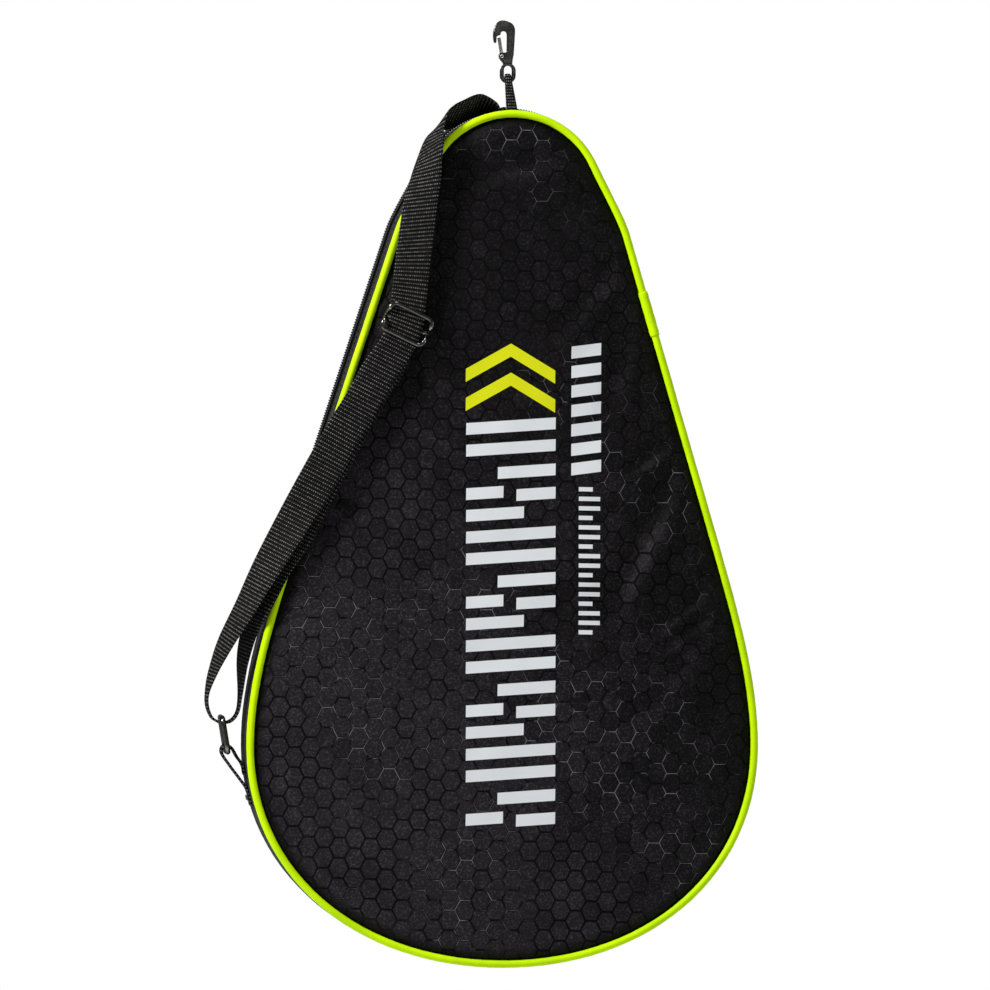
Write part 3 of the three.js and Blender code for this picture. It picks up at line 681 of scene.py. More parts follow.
SEAM_DROP = 1.9
BACK_Y = 20.95
BACK_SHRINK = 0.99
FRONT_CREASES = [
    ((105, 310), (55, 190), 9, 1.2, 8), ((88, 255), (60, 150), 8, 0.9, -6),
    ((118, 215), (70, 120), 10, 1.1, 6), ((-112, 75), (-70, 40), 7, 1.1, 3),
    ((-96, 55), (-40, 28), 7, 1.0, 2), ((-122, 110), (-95, 60), 7, 0.9, -3),
    ((60, 385), (20, 330), 8, 0.9, 4), ((40, 430), (-25, 415), 7, 0.8, -3),
    ((70, 350), (52, 290), 7, 0.8, 2), ((60, 40), (110, 75), 8, 1.0, -4),
    ((15, 24), (75, 34), 7, 0.8, 3), ((-70, 160), (-30, 95), 10, 0.7, 5),
    ((-60, 350), (-35, 300), 8, 0.7, -3), ((120, 150), (100, 95), 7, 0.9, 3),
    ((114, 208), (76, 176), 5, 1.2, 2), ((112, 190), (84, 168), 4.5, 1.0, -1),
    ((92, 284), (62, 262), 5, 1.1, 1), ((-126, 134), (-70, 58), 13, 1.3, 6),
    ((-104, 156), (-46, 80), 12, 1.0, 5), ((-88, 62), (-18, 28), 10, 1.0, 4),
    ((-128, 150), (-108, 128), 4.5, 0.9, 1), ((-118, 196), (-98, 182), 4.5, 0.8, 1),
]


def pad_relief(points, loop, crown, rim_drop, creases, seed):
    """How far the cloth stands above the rim: crowned middle, a valley at the seam, folds and puckers."""
    away = edge_distance(points, loop)
    rise = 1 - np.exp(-away / 7.0)
    broad = 1 - np.exp(-away / 60.0)
    height = rim_drop * (rise - 1) + crown * (0.45 * rise + 0.55 * broad)
    fade = np.clip(away / 14.0, 0, 1)
    for fold in creases:
        height += crease(points, *fold) * fade
    height += fade * (0.35 * smooth_noise(points, 45, seed) + 0.12 * smooth_noise(points, 16, seed + 1))
    around = np.arctan2(points[:, 1] - 200, points[:, 0])
    pucker = np.sin(around * 90 + 2.5 * np.sin(around * 7)) * np.exp(-((away - 5) / 5) ** 2)
    return height + 0.3 * pucker * (0.6 + 0.4 * np.sin(around * 5 + seed))


def padded_panel(name, loop, y_face, side, crown, creases, seed, spacing=3.2):
    """A padded panel as a closed skin: an outer cloth with relief, over the flat back of its foam."""
    flat, faces = filled_outline(loop, spacing)
    relief = pad_relief(flat, loop, crown, SEAM_DROP, creases, seed)
    outer = np.stack([flat[:, 0], np.full(len(flat), float(y_face)), flat[:, 1]], 1)
    outer[:, 1] += side * relief
    back = outer.copy()
    back[:, 0] *= BACK_SHRINK
    back[:, 2] = 200 + (back[:, 2] - 200) * BACK_SHRINK
    back[:, 1] = side * BACK_Y
    count = len(flat)
    skin = list(faces) + [tuple(count + i for i in reversed(f)) for f in faces]
    rim_edges = edge_loop(faces)
    skin += [(b, a, count + a, count + b) for a, b in rim_edges]
    obj = mesh_object(name, places(np.concatenate([outer, back])), skin)
    return point_outwards(obj)


def edge_loop(faces):
    """The directed edges that only one face uses."""
    seen = {}
    for face in faces:
        for a, b in zip(face, face[1:] + face[:1]):
            seen[(a, b)] = True
    return [(a, b) for a, b in seen if (b, a) not in seen]


def settle_cloth(obj, away, cap):
    """Lets the cloth settle under a little pressure, its back and rim held, and keeps the result."""
    mesh = obj.data
    before = np.array([v.co for v in mesh.vertices])
    half = len(before) // 2
    held = obj.vertex_groups.new(name="held")
    for i in range(len(before)):
        if i >= half:
            held.add([i], 1.0, "REPLACE")
        elif away[i] < 3.0:
            held.add([i], 1.0, "REPLACE")
        else:
            held.add([i], 0.15 * math.exp(-away[i] / 12.0), "REPLACE")
    cloth = obj.modifiers.new("settle", "CLOTH")
    cloth.settings.vertex_group_mass = "held"
    cloth.settings.quality = 5
    cloth.settings.mass = 0.25
    cloth.settings.tension_stiffness = 25
    cloth.settings.compression_stiffness = 12
    cloth.settings.shear_stiffness = 8
    cloth.settings.bending_stiffness = 3.0
    cloth.settings.shrink_min = -0.012
    cloth.settings.use_pressure = True
    cloth.settings.uniform_pressure_force = 0.8
    cloth.settings.effector_weights.gravity = 0
    cloth.collision_settings.use_collision = False
    cloth.collision_settings.use_self_collision = False
    cloth.point_cache.frame_start = 1
    cloth.point_cache.frame_end = 20
    scene = bpy.context.scene
    for number in range(1, 21):
        scene.frame_set(number)
    depsgraph = bpy.context.evaluated_depsgraph_get()
    shape = obj.evaluated_get(depsgraph).to_mesh()
    after = np.array([v.co for v in shape.vertices])
    obj.evaluated_get(depsgraph).to_mesh_clear()
    moved = after - before
    size = np.linalg.norm(moved, axis=1)[:, None]
    moved *= np.minimum(1, cap / np.maximum(size, 1e-9))
    moved[half:] = 0
    obj.modifiers.clear()
    obj.vertex_groups.clear()
    mesh.vertices.foreach_set("co", (before + moved).ravel().astype(np.float32))
    scene.frame_set(1)
    return obj


def make_panel(name, loop, y_face, side, crown, creases, seed):
    obj = padded_panel(name, loop, y_face, side, crown, creases, seed)
    half = len(obj.data.vertices) // 2
    co = np.array([v.co for v in obj.data.vertices][:half]) * 1000
    co -= np.array(ORIGIN) * 1000
    away = edge_distance(co[:, (0, 2)], loop)
    settle_cloth(obj, away, 0.0009)
    finer = obj.modifiers.new("finer", "SUBSURF")
    finer.levels = finer.render_levels = 1
    baked(obj)
    co = np.empty(len(obj.data.vertices) * 3)
    obj.data.vertices.foreach_get("co", co)
    flat = (co.reshape(-1, 3) - np.array(ORIGIN))[:, (0, 2)] * 1000
    shade = np.clip((7.0 - edge_distance(flat, loop)) / 4.0, 0, 1)
    seam = obj.data.attributes.new("seam_shade", "FLOAT", "POINT")
    seam.data.foreach_set("value", shade.astype(np.float32))
    return obj


front_loop = inset_loop(RIM, 3.6)
front_panel = make_panel("front_panel_cloth", front_loop, -24.9, -1, 3.2, FRONT_CREASES, 3)
finish_piece(front_panel, HEXAGON_CLOTH, "case", "shell_cloth", "front_panel_fabric", "front_panel_foam")

REAR_CREASES = [
    ((-110, 90), (-60, 160), 10, 0.8, 4), ((100, 70), (60, 130), 9, 0.8, -4),
    ((-50, 330), (-20, 400), 8, 0.7, 3),
]
rear_panel = make_panel("rear_panel_cloth", front_loop, 24.9, 1, 2.4, REAR_CREASES, 11)
rear_nodes = "rear_lower_fabric", "flap_fabric", "rear_lower_foam", "flap_foam"
finish_piece(rear_panel, HEXAGON_CLOTH, None, "shell_cloth", *rear_nodes)
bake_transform(rear_panel)


# ---------------------------------------------------------------- piping
def piping_run(name, points, y, closed, radius=PIPING_RADIUS, swell=None):
    """A round welt along the rim with small puckers where it was gathered round the curves."""
    normal = outward(points, closed)
    lengths = run_length(points)
    rings = []
    uvs = []
    sides = 20
    for i, (p, out) in enumerate(zip(points, normal)):
        turn = lengths[i]
        wobble = 1 + 0.018 * math.sin(turn * 0.9) + 0.014 * math.sin(turn * 2.3 + 1.0)
        r = radius * wobble * (swell(i / (len(points) - 1)) if swell else 1.0)
        centre = p - out * PIPING_RADIUS
        drift = 0.15 * math.sin(turn * 0.07) + 0.1 * math.sin(turn * 0.19 + 2)
        ring = []
        for k in range(sides):
            a = 2 * math.pi * k / sides
            x, z = centre + out * (r * math.cos(a))
            ring.append((x, y + drift + r * math.sin(a), z))
            uvs.append((k / sides * 2 * math.pi * radius / 1000, turn / 1000))
        rings.append(ring)
    return ring_loft(name, places(rings), uvs, closed)


front_welt = piping_run("front_piping_welt", RIM, -PIPING_Y, True)
finish_piece(front_welt, PIPING_VINYL, "case", "piping_vinyl", "front_piping")
sleeve_z = np.linspace(340.3, 363.7, 26)
sleeve_path = np.array([flank(z, 1) for z in sleeve_z])
welt_sleeve = piping_run("piping_joint_wrap", sleeve_path, -PIPING_Y, False, 2.6,
                         lambda t: 1 - 0.06 * (math.exp(-t * 18) + math.exp(-(1 - t) * 18)))
finish_piece(welt_sleeve, PIPING_VINYL, "case", "piping_vinyl", "piping_joint_sleeve")
rear_welt = piping_run("rear_piping_welt", rim_below(HINGE_Z), PIPING_Y, False)
finish_piece(rear_welt, REAR_VINYL, "case", "rear_piping_vinyl", "rear_lower_piping")
flap_welt = piping_run("flap_piping_welt", rim_above(HINGE_Z + 0.5), PIPING_Y, False)
finish_piece(flap_welt, REAR_VINYL, "flap", "rear_piping_vinyl", "flap_piping")


# ---------------------------------------------------------------- gusset
def gusset_band(name, points, y_from, y_to, bulge, seed, inset=0.9):
    """A band of cloth along the rim with turned edges, a soft bulge across its width and shallow waves."""
    normal = outward(points, False)
    lengths = run_length(points)
    across = max(8, int((y_to - y_from) / 2.2))
    t = np.linspace(0, 1, across + 1)
    top, under, uv_top, uv_under = [], [], [], []
    for i, (p, out) in enumerate(zip(points, normal)):
        y = y_from + (y_to - y_from) * t
        turn = np.full(len(t), lengths[i])
        wave = smooth_noise(np.stack([turn, y], 1), 38, seed) * 0.28
        lift = (bulge + wave) * np.sin(math.pi * t) ** 0.6 - inset
        edge_turn = 0.5 * (np.exp(-t * across * 0.9) + np.exp(-(1 - t) * across * 0.9))
        high = lift - edge_turn
        top.append(np.stack([p[0] + out[0] * high, y, p[1] + out[1] * high], 1))
        low = np.minimum(lift - 0.75, -inset - 0.6)
        under.append(np.stack([p[0] + out[0] * low, y, p[1] + out[1] * low], 1))
        uv_top.append(np.stack([y / 1000, turn / 1000], 1))
        uv_under.append(uv_top[-1])
    rings = [np.concatenate([a, b[::-1]]) for a, b in zip(top, under)]
    uvs = np.concatenate([np.concatenate([a, b[::-1]]) for a, b in zip(uv_top, uv_under)])
    return ring_loft(name, places(np.array(rings)), uvs)


front_band = gusset_band("gusset_front_cloth", rim_above(HINGE_Z + 0.2), -GUSSET_EDGE, 4.6, 0.9, 21)
finish_piece(front_band, GUSSET_CLOTH, "case", "gusset_cloth", "gusset_front_fabric")
flap_band = gusset_band("gusset_flap_cloth", rim_above(HINGE_Z + 0.5), 15.4, GUSSET_EDGE, 0.5, 22)
finish_piece(flap_band, GUSSET_CLOTH, "flap", "gusset_cloth", "gusset_flap_fabric")
lower_rim = rim_below(HINGE_Z)
lower_band = gusset_band("gusset_lower_cloth", lower_rim, -GUSSET_EDGE, GUSSET_EDGE, 1.0, 23)
finish_piece(lower_band, GUSSET_CLOTH, "case", "gusset_cloth", "gusset_lower_fabric")


# ---------------------------------------------------------------- zip
# Across the tape from the coil's edge: share of the width, and height above the gusset.
TAPE_PROFILE = (
    (0, 0.1), (0.06, 0.32), (0.2, 0.15), (0.6, 0.1), (1, 0.1), (1, -0.45), (0.5, -0.45), (0, -0.45),
)


def tail_run(side, low, high, count):
    """Points along one flank for the zip's tail, in the direction that the rim runs."""
    run = np.array([flank(z, side) for z in np.linspace(low, high, count)])
    return run if side > 0 else run[::-1]


def zip_tape(name, points, y_edge, y_far, body, *nodes):
    """Woven zip tape: a thin strip with a rounded bead at the edge that carries the coil."""
    normal = outward(points, False)
    lengths = run_length(points)
    rings, uvs = [], []
    for i, (p, out) in enumerate(zip(points, normal)):
        ring = []
        for share, high in TAPE_PROFILE:
            y = y_edge + (y_far - y_edge) * share
            x, z = p + out * high
            ring.append((x, y, z))
            uvs.append((y / 1000, lengths[i] / 1000))
        rings.append(ring)
    obj = ring_loft(name, places(rings), uvs)
    return finish_piece(obj, TAPE_CLOTH, body, "zip_tape", *nodes)


zip_tape("zip_tape_front_cloth", rim_above(226.0), ZIP_Y - 0.5, ZIP_Y - 7, "case", "zip_tape_front")
zip_tape("zip_tape_flap_cloth", rim_above(HINGE_Z + 0.5), ZIP_Y + 0.5, ZIP_Y + 7, "flap", "zip_tape_flap")
for side_name, side in (("right", 1), ("left", -1)):
    node = f"zip_tape_tail_{side_name}"
    zip_tape(node + "_cloth", tail_run(side, 226.0, HINGE_Z, 14), ZIP_Y + 0.5, ZIP_Y + 7, "case", node)


def new_geometry_tree(name, inputs):
    tree = bpy.data.node_groups.new(name, "GeometryNodeTree")
    tree.interface.new_socket("Geometry", in_out="INPUT", socket_type="NodeSocketGeometry")
    sockets = {}
    for label, kind, value in inputs:
        socket = tree.interface.new_socket(label, in_out="INPUT", socket_type=kind)
        if value is not None:
            socket.default_value = value
        sockets[label] = socket.identifier
    tree.interface.new_socket("Geometry", in_out="OUTPUT", socket_type="NodeSocketGeometry")
    return tree, Nodes(tree), sockets


def repeat_tree():
    """Puts a copy of a small piece every so far along a path, turned to follow it, as plain mesh."""
    tree, n, sockets = new_geometry_tree("repeat_along_path", [
        ("Piece", "NodeSocketObject", None), ("Spacing", "NodeSocketFloat", 0.003),
        ("Looks", "NodeSocketMaterial", None),
    ])
    source = n.add("NodeGroupInput").outputs
    out = n.add("NodeGroupOutput")
    curve = n.add("GeometryNodeMeshToCurve", Mesh=source["Geometry"]).outputs[0]
    by_length = {"mode": "LENGTH"}
    spots = n.add("GeometryNodeCurveToPoints", by_length, Curve=curve, Length=source["Spacing"]).outputs
    stored = {"data_type": "FLOAT_VECTOR"}
    facing = n.add("GeometryNodeInputNamedAttribute", stored, Name="facing").outputs[0]
    align = "FunctionNodeAlignRotationToVector"
    lined = n.add(align, {"axis": "X"}, Vector=spots["Tangent"]).outputs[0]
    turned = n.add(align, {"axis": "Z", "pivot_axis": "X"}, Rotation=lined, Vector=facing).outputs[0]
    in_place = {"transform_space": "ORIGINAL"}
    piece = n.add("GeometryNodeObjectInfo", in_place, Object=source["Piece"]).outputs["Geometry"]
    parts = {"Points": spots["Points"], "Instance": piece, "Rotation": turned}
    placed = n.add("GeometryNodeInstanceOnPoints", **parts).outputs[0]
    real = n.add("GeometryNodeRealizeInstances", Geometry=placed).outputs[0]
    coloured = n.add("GeometryNodeSetMaterial", Geometry=real, Material=source["Looks"]).outputs[0]
    n.set(out, "Geometry", coloured)
    return tree, sockets


REPEAT, REPEAT_SOCKETS = repeat_tree()


def repeated(name, path, facing, piece, spacing, looks, body, slot, *nodes):
    """Copies of a small piece along a path of row-frame points; facing is the outward direction there."""
    obj = mesh_object(name, path, [])
    steps = np.arange(len(path) - 1)
    obj.data.edges.add(len(steps))
    obj.data.edges.foreach_set("vertices", np.stack([steps, steps + 1], 1).ravel())
    attribute = obj.data.attributes.new("facing", "FLOAT_VECTOR", "POINT")
    attribute.data.foreach_set("vector", np.asarray(facing, np.float32).ravel())
    maker = obj.modifiers.new("repeat", "NODES")
    maker.node_group = REPEAT
    maker[REPEAT_SOCKETS["Piece"]] = piece
    maker[REPEAT_SOCKETS["Spacing"]] = spacing
    maker[REPEAT_SOCKETS["Looks"]] = looks
    baked(obj)
    for polygon in obj.data.polygons:
        polygon.use_smooth = True
    if nodes:
        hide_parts(*nodes)
    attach(obj, body)
    return obj


def small_tube(name, centre_line, radius, sides):
    """A small tube along a given line in millimetres, kept as a pattern piece."""
    line = np.array(centre_line, float)
    along = np.gradient(line, axis=0)
    rings = []
    for p, d in zip(line, along):
        d = Vector(d).normalized()
        side = d.orthogonal().normalized()
        other = d.cross(side)
        rings.append([Vector(p) + radius * (math.cos(a) * side + math.sin(a) * other)
                      for a in np.linspace(0, 2 * math.pi, sides, endpoint=False)])
    return ring_loft(name, np.array([[tuple(v) for v in ring] for ring in rings]) / 1000)


# One turn of coil: a loop that stands up from the tape, goes over and comes down by the split.
def coil_turn(name, side):
    line = []
    for a in np.linspace(-0.35 * math.pi, 1.35 * math.pi, 11):
        line.append((0.18 * math.sin(a), side * (1.55 + 1.08 * math.cos(a)), 1.2 + 0.83 * math.sin(a)))
    return small_tube(name, line, 0.5, 6)


def stitch_piece():
    line = [(-1.35, 0, -0.25), (-1.05, 0, 0.08), (0, 0, 0.2), (1.05, 0, 0.08), (1.35, 0, -0.25)]
    return small_tube("stitch_pattern", line, 0.2, 6)


STITCH = stitch_piece()
coil_front_turn = coil_turn("coil_turn_front_pattern", -1)
coil_flap_turn = coil_turn("coil_turn_flap_pattern", 1)


def rim_path(points, out_by, y):
    normal = outward(points, False)
    x, z = (points + normal * out_by).T
    path = places(np.stack([x, np.full(len(points), y), z], 1))
    facing = np.stack([normal[:, 0], np.zeros(len(points)), normal[:, 1]], 1)
    return path, facing


def filler_cord(name, points, y, body):
    """The cord that the coil is wound round: an oval strand that lies inside the turns."""
    normal = outward(points, False)
    angles = np.linspace(0, 2 * math.pi, 10, endpoint=False)
    rings = []
    for p, out in zip(points, normal):
        high = p + out * (1.4 + 0.75 * np.cos(angles))[:, None]
        rings.append(np.stack([high[:, 0], y + 1.3 * np.sin(angles), high[:, 1]], 1))
    finish_piece(ring_loft(name, places(rings)), ZIP_NYLON, body, "zip_nylon")


filler_cord("zip_filler_cord_front", rim_above(231.5), ZIP_Y - 1.65, "case")
filler_cord("zip_filler_cord_flap", rim_above(HINGE_Z + 1.0), ZIP_Y + 1.65, "flap")

COIL_PITCH = 0.00143
STITCH_PITCH = 0.0034
for run_name, points, side, turn, body in (
    ("front", rim_above(230.5), -1, coil_front_turn, "case"),
    ("flap", rim_above(HINGE_Z + 0.5), 1, coil_flap_turn, "flap"),
    ("tail_right", tail_run(1, 230.8, HINGE_Z - 0.3, 12), 1, coil_flap_turn, "case"),
    ("tail_left", tail_run(-1, 230.8, HINGE_Z - 0.3, 12), 1, coil_flap_turn, "case"),
):
    node = f"zip_coil_{run_name}"
    path, facing = rim_path(points, 0.25, ZIP_Y + side * 0.1)
    repeated(node + "_turns", path, facing, turn, COIL_PITCH, ZIP_NYLON, body, "zip_nylon", node)

# Topstitching beside the zip, on the gusset's folded edges.
for run_name, y, body in (("front", 2.6, "case"), ("flap", 17.4, "flap")):
    path, facing = rim_path(rim_above(HINGE_Z + 1.5), -0.45, y)
    repeated(f"zip_topstitch_{run_name}", path, facing, STITCH, STITCH_PITCH, THREAD, body, "thread")


# ---------------------------------------------------------------- strap
def catmull(stations, steps):
    """A smooth curve through the stations, sampled evenly in their own numbering."""
    p = np.asarray(stations, float)
    padded = np.concatenate([[2 * p[0] - p[1]], p, [2 * p[-1] - p[-2]]])
    made = []
    for t in np.linspace(0, len(p) - 1, steps):
        i = min(int(t), len(p) - 2)
        f = t - i
        a, b, c, d = padded[i : i + 4]
        square = (2 * a - 5 * b + 4 * c - d) * f**2
        cube = (3 * b - a - 3 * c + d) * f**3
        made.append(0.5 * (2 * b + (c - a) * f + square + cube))
    return np.array(made)


def webbing(name, left, right, thickness, steps, across=16, share_from=0.0, share_to=1.0):
    """Flat webbing between two edge curves, or a share of it, with rounded selvedges and UVs in metres."""
    a = catmull(left, steps)
    b = catmull(right, steps)
    middle = (a + b) / 2
    lengths = run_length(middle)
    along = np.gradient(middle, axis=0)
    rings, uvs = [], []
    shares = np.linspace(0, 1, across + 1)
    edge = 0.5 - 0.5 * (np.exp(-shares * 22) + np.exp(-(1 - shares) * 22)) * 0.8
    for i in range(int(share_from * (steps - 1)), int(share_to * (steps - 1)) + 1):
        width = b[i] - a[i]
        lift = np.cross(width, along[i])
        lift /= np.linalg.norm(lift)
        top = a[i] + shares[:, None] * width + lift * (thickness * edge)[:, None]
        low = a[i] + shares[:, None] * width - lift * (thickness * edge)[:, None]
        rings.append(np.concatenate([top, low[::-1]]))
        size = np.linalg.norm(width)
        u = np.concatenate([shares, shares[::-1]]) * size / 1000
        uvs += [(value, lengths[i] / 1000) for value in u]
    return ring_loft(name, places(rings), uvs)


Y_UP = -34.3
STRAP_MAIN = [
    ((-3.5, -1.5, 459.5), (-3.5, -21, 459.5)), ((-7.2, -1.7, 459.4), (-7.2, -21.2, 459.5)),
    ((-12, -3.8, 458.6), (-10, -21.9, 463.3)), ((-22, -8.7, 455), (-18.2, -23, 467.2)),
    ((-33, -15.6, 449), (-27, -26, 464)), ((-41.3, -16.4, 446.5), (-35.3, -30, 458.4)),
    ((-47, -17, 442.9), (-38.7, -34, 447.3)), ((-51.8, -22, 431.8), (-39, -35.5, 439.8)),
    ((-55.5, -27, 421.5), (-39.8, -36, 425.4)), ((-59.5, -31.5, 407.5), (-41, -35.5, 409.9)),
    ((-62.8, Y_UP, 383), (-43.6, Y_UP, 384.5)), ((-65, Y_UP, 359), (-46.2, Y_UP, 356)),
    ((-65.8, Y_UP, 346.5), (-48, Y_UP, 340)), ((-70.5, Y_UP, 335.2), (-53.2, Y_UP, 327.3)),
    ((-79.5, -34.7, 322), (-62, -34.7, 313.5)), ((-87.2, -35.6, 307.6), (-69.7, -35.6, 299)),
    ((-98.3, -35.6, 288.8), (-81, -35.8, 279.6)), ((-117.2, -34, 253.4), (-99.7, -36, 245)),
    ((-133.8, -21.5, 218.2), (-120.6, -34.5, 211.3)), ((-143.7, -13, 193.6), (-134.6, -29.5, 188.3)),
    ((-152.6, -4, 172.3), (-146.6, -22, 167.5)), ((-157, 4, 154.6), (-153.6, -15, 153.6)),
    ((-158, 8, 144), (-157.3, -11.2, 144)), ((-157.6, 9.6, 137), (-157.4, -9.9, 137)),
    ((-155, 9.75, 131), (-155, -9.75, 131)), ((-151.2, 9.75, 128.4), (-151.2, -9.75, 128.4)),
]
STRAP_RETURN = [
    ((-145.2, 9.75, 128.9), (-145.2, -9.75, 128.9)), ((-141.2, 9.4, 134), (-141.2, -10.1, 134)),
    ((-140.4, 8, 144), (-139.4, -11.4, 144)), ((-141.8, 2, 163), (-136.8, -16.6, 160.5)),
    ((-140.2, -6, 179), (-132.6, -23.5, 176.5)), ((-137, -13, 192.5), (-127, -28.8, 187.5)),
    ((-131, -18.5, 213), (-116.6, -29.2, 208)), ((-123.5, -25.4, 230.5), (-106.6, -31.6, 223.5)),
    ((-105.7, -31.6, 268.8), (-88.4, -32.6, 260.2)), ((-87, -33.2, 306), (-69.7, -33.2, 297.4)),
    ((-74.5, -32.6, 327), (-57.5, -32.6, 317.6)), ((-66.6, -32.2, 343.2), (-49.8, -32.2, 335.2)),
]


def two_edges(stations):
    return [station[0] for station in stations], [station[1] for station in stations]


strap_main = webbing("strap_main_webbing", *two_edges(STRAP_MAIN), STRAP_THICKNESS, 400)
finish_piece(strap_main, STRAP_WEBBING, None, "webbing", "strap_main_run")
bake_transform(strap_main)

# The return run starts at the main run's last section and is split where neither body bends it.
RETURN_SPLIT = 0.6
return_edges = two_edges(STRAP_MAIN[-1:] + STRAP_RETURN)
strap_lower = webbing(
    "strap_return_lower_webbing", *return_edges, STRAP_THICKNESS, 221, share_to=RETURN_SPLIT)
finish_piece(strap_lower, STRAP_WEBBING, None, "webbing", "strap_return_run")
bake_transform(strap_lower)
strap_upper = webbing(
    "strap_return_upper_webbing", *return_edges, STRAP_THICKNESS, 221, share_from=RETURN_SPLIT)
finish_piece(strap_upper, STRAP_WEBBING, None, "webbing")
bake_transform(strap_upper)


def rim_half_width(z):
    right = RIM[(RIM[:, 0] > 0)]
    order = np.argsort(right[:, 1])
    return float(np.interp(z, right[order, 1], right[order, 0]))


def sewn(z, out):
    return (-(rim_half_width(z) - 0.8) - 1.0 - out, z)


TAB = [sewn(84, 0.5), sewn(92.5, 0.6), (-139.8, 98.8), (-144.9, 105.4), (-149.1, 111.5), (-148.9, 115),
       (-146.4, 116.1), (-143.9, 114.6), (-141.4, 110.4), sewn(105.5, 1.1), sewn(100.5, 0.6)]
tab_edges = [[(x, side * STRAP_WIDTH / 2, z) for x, z in TAB] for side in (1, -1)]
tab = webbing("ring_tab_webbing", *tab_edges, STRAP_THICKNESS, 120)
finish_piece(tab, STRAP_WEBBING, "case", "webbing", "ring_tab")


# ---------------------------------------------------------------- wire pieces
def wire(name, points, radius, closed=True, sides=16):
    """A round bent wire through row-frame millimetre points."""
    line = np.asarray(points, float)
    along = np.roll(line, -1, 0) - np.roll(line, 1, 0) if closed else np.gradient(line, axis=0)
    normal = np.cross(line[1] - line[0], line[len(line) // 3] - line[0])
    normal /= np.linalg.norm(normal)
    rings = []
    for p, d in zip(line, along):
        d = d / np.linalg.norm(d)
        side = np.cross(d, normal)
        side /= np.linalg.norm(side)
        other = np.cross(side, d)
        angles = np.linspace(0, 2 * math.pi, sides, endpoint=False)
        rings.append(p + radius * (np.cos(angles)[:, None] * side + np.sin(angles)[:, None] * other))
    return ring_loft(name, places(rings), None, closed)


def rounded_loop(half_u, half_v, radius, per_corner=10, per_side=8):
    points = []
    for su, sv, start in ((1, 1, 0), (-1, 1, 90), (-1, -1, 180), (1, -1, 270)):
        for a in np.radians(start + np.linspace(0, 90, per_corner)):
            u = su * (half_u - radius) + radius * math.cos(a)
            v = sv * (half_v - radius) + radius * math.sin(a)
            points.append((u, v))
    loop = []
    for i, p in enumerate(points):
        q = points[(i + 1) % len(points)]
        gap = math.hypot(q[0] - p[0], q[1] - p[1])
        steps = per_side if gap > 3 else 1
        loop += [(p[0] + (q[0] - p[0]) * k / steps, p[1] + (q[1] - p[1]) * k / steps) for k in range(steps)]
    return loop


low, high = np.array((-146.4, 0, 112.7)), np.array((-149.7, 0, 130.9))
up = (high - low) / np.linalg.norm(high - low)
ring_line = [(low + high) / 2 + up * v + np.array((0, u, 0))
             for u, v in rounded_loop(STRAP_WIDTH / 2 + 2.6, np.linalg.norm(high - low) / 2, 3.4)]
ring = wire("lower_ring_wire", ring_line, 1.42)
finish_piece(ring, GUNMETAL, "ring", "gunmetal", "lower_ring")

TILT = math.radians(25)
WIRE = 1.1
FRONT_Y = Y_UP - 0.7 - 0.4 - WIRE
REAR_Y = Y_UP + 0.7 + 0.4 + WIRE


def adjuster_point(u, y, v):
    across, up = math.cos(TILT), math.sin(TILT)
    return (-56.6 + u * across + v * up, y, 343 - u * up + v * across)


frame_line = []
for u, v in rounded_loop(12.1, 7.6, 3.2, 10, 10):
    share = min(1.0, abs(v) / (7.6 - 3.2))
    share = share * share * (3 - 2 * share)
    frame_line.append(adjuster_point(u, REAR_Y + (FRONT_Y - REAR_Y) * share, v))
adjuster_wire = wire("adjuster_frame_wire", frame_line, WIRE + 0.05)
bar_line = [adjuster_point(u, REAR_Y, 0) for u in np.linspace(-12, 12, 20)]
line = np.array(bar_line)
bar_rings = []
angles = np.linspace(0, 2 * math.pi, 14, endpoint=False)[:, None]
side = np.array((math.sin(TILT), 0, math.cos(TILT)))
for p in line:
    bar_rings.append(p + 1.05 * (np.cos(angles) * side + np.sin(angles) * np.array((0, 1, 0))))
adjuster_bar = ring_loft("adjuster_centre_bar", places(bar_rings))
finish_piece(adjuster_bar, GUNMETAL, "adjuster", "gunmetal")
finish_piece(adjuster_wire, GUNMETAL, "adjuster", "gunmetal", "strap_adjuster")


# ---------------------------------------------------------------- cast and pressed metal
def softened(node, name, voxel, rounds, material_used, body):
    """A CAD piece with its hard edges rounded over, as casting and tumbling leave them."""
    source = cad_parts[node]
    obj = bpy.data.objects.new(name, source.data.copy())
    bpy.context.collection.objects.link(obj)
    bm = bmesh.new()
    bm.from_mesh(obj.data)
    bmesh.ops.remove_doubles(bm, verts=bm.verts, dist=1e-6)
    bm.to_mesh(obj.data)
    bm.free()
    remesh = obj.modifiers.new("even", "REMESH")
    remesh.mode = "VOXEL"
    remesh.voxel_size = voxel
    remesh.use_smooth_shade = True
    soft = obj.modifiers.new("rounded", "SMOOTH")
    soft.factor = 0.5
    soft.iterations = rounds
    baked(obj)
    return finish_piece(obj, material_used, body, "gunmetal", node)


softened("clip_hook", "clip_hook_casting", 0.00018, 15, GUNMETAL, "clip")
gate = softened("clip_gate", "clip_gate_leaf", 0.00016, 5, BRIGHT_METAL, "gate")
softened("zip_slider", "zip_slider_body", 0.00014, 3, GUNMETAL, "slider")
softened("zip_pull", "zip_pull_tab", 0.0002, 3, GUNMETAL, "pull")


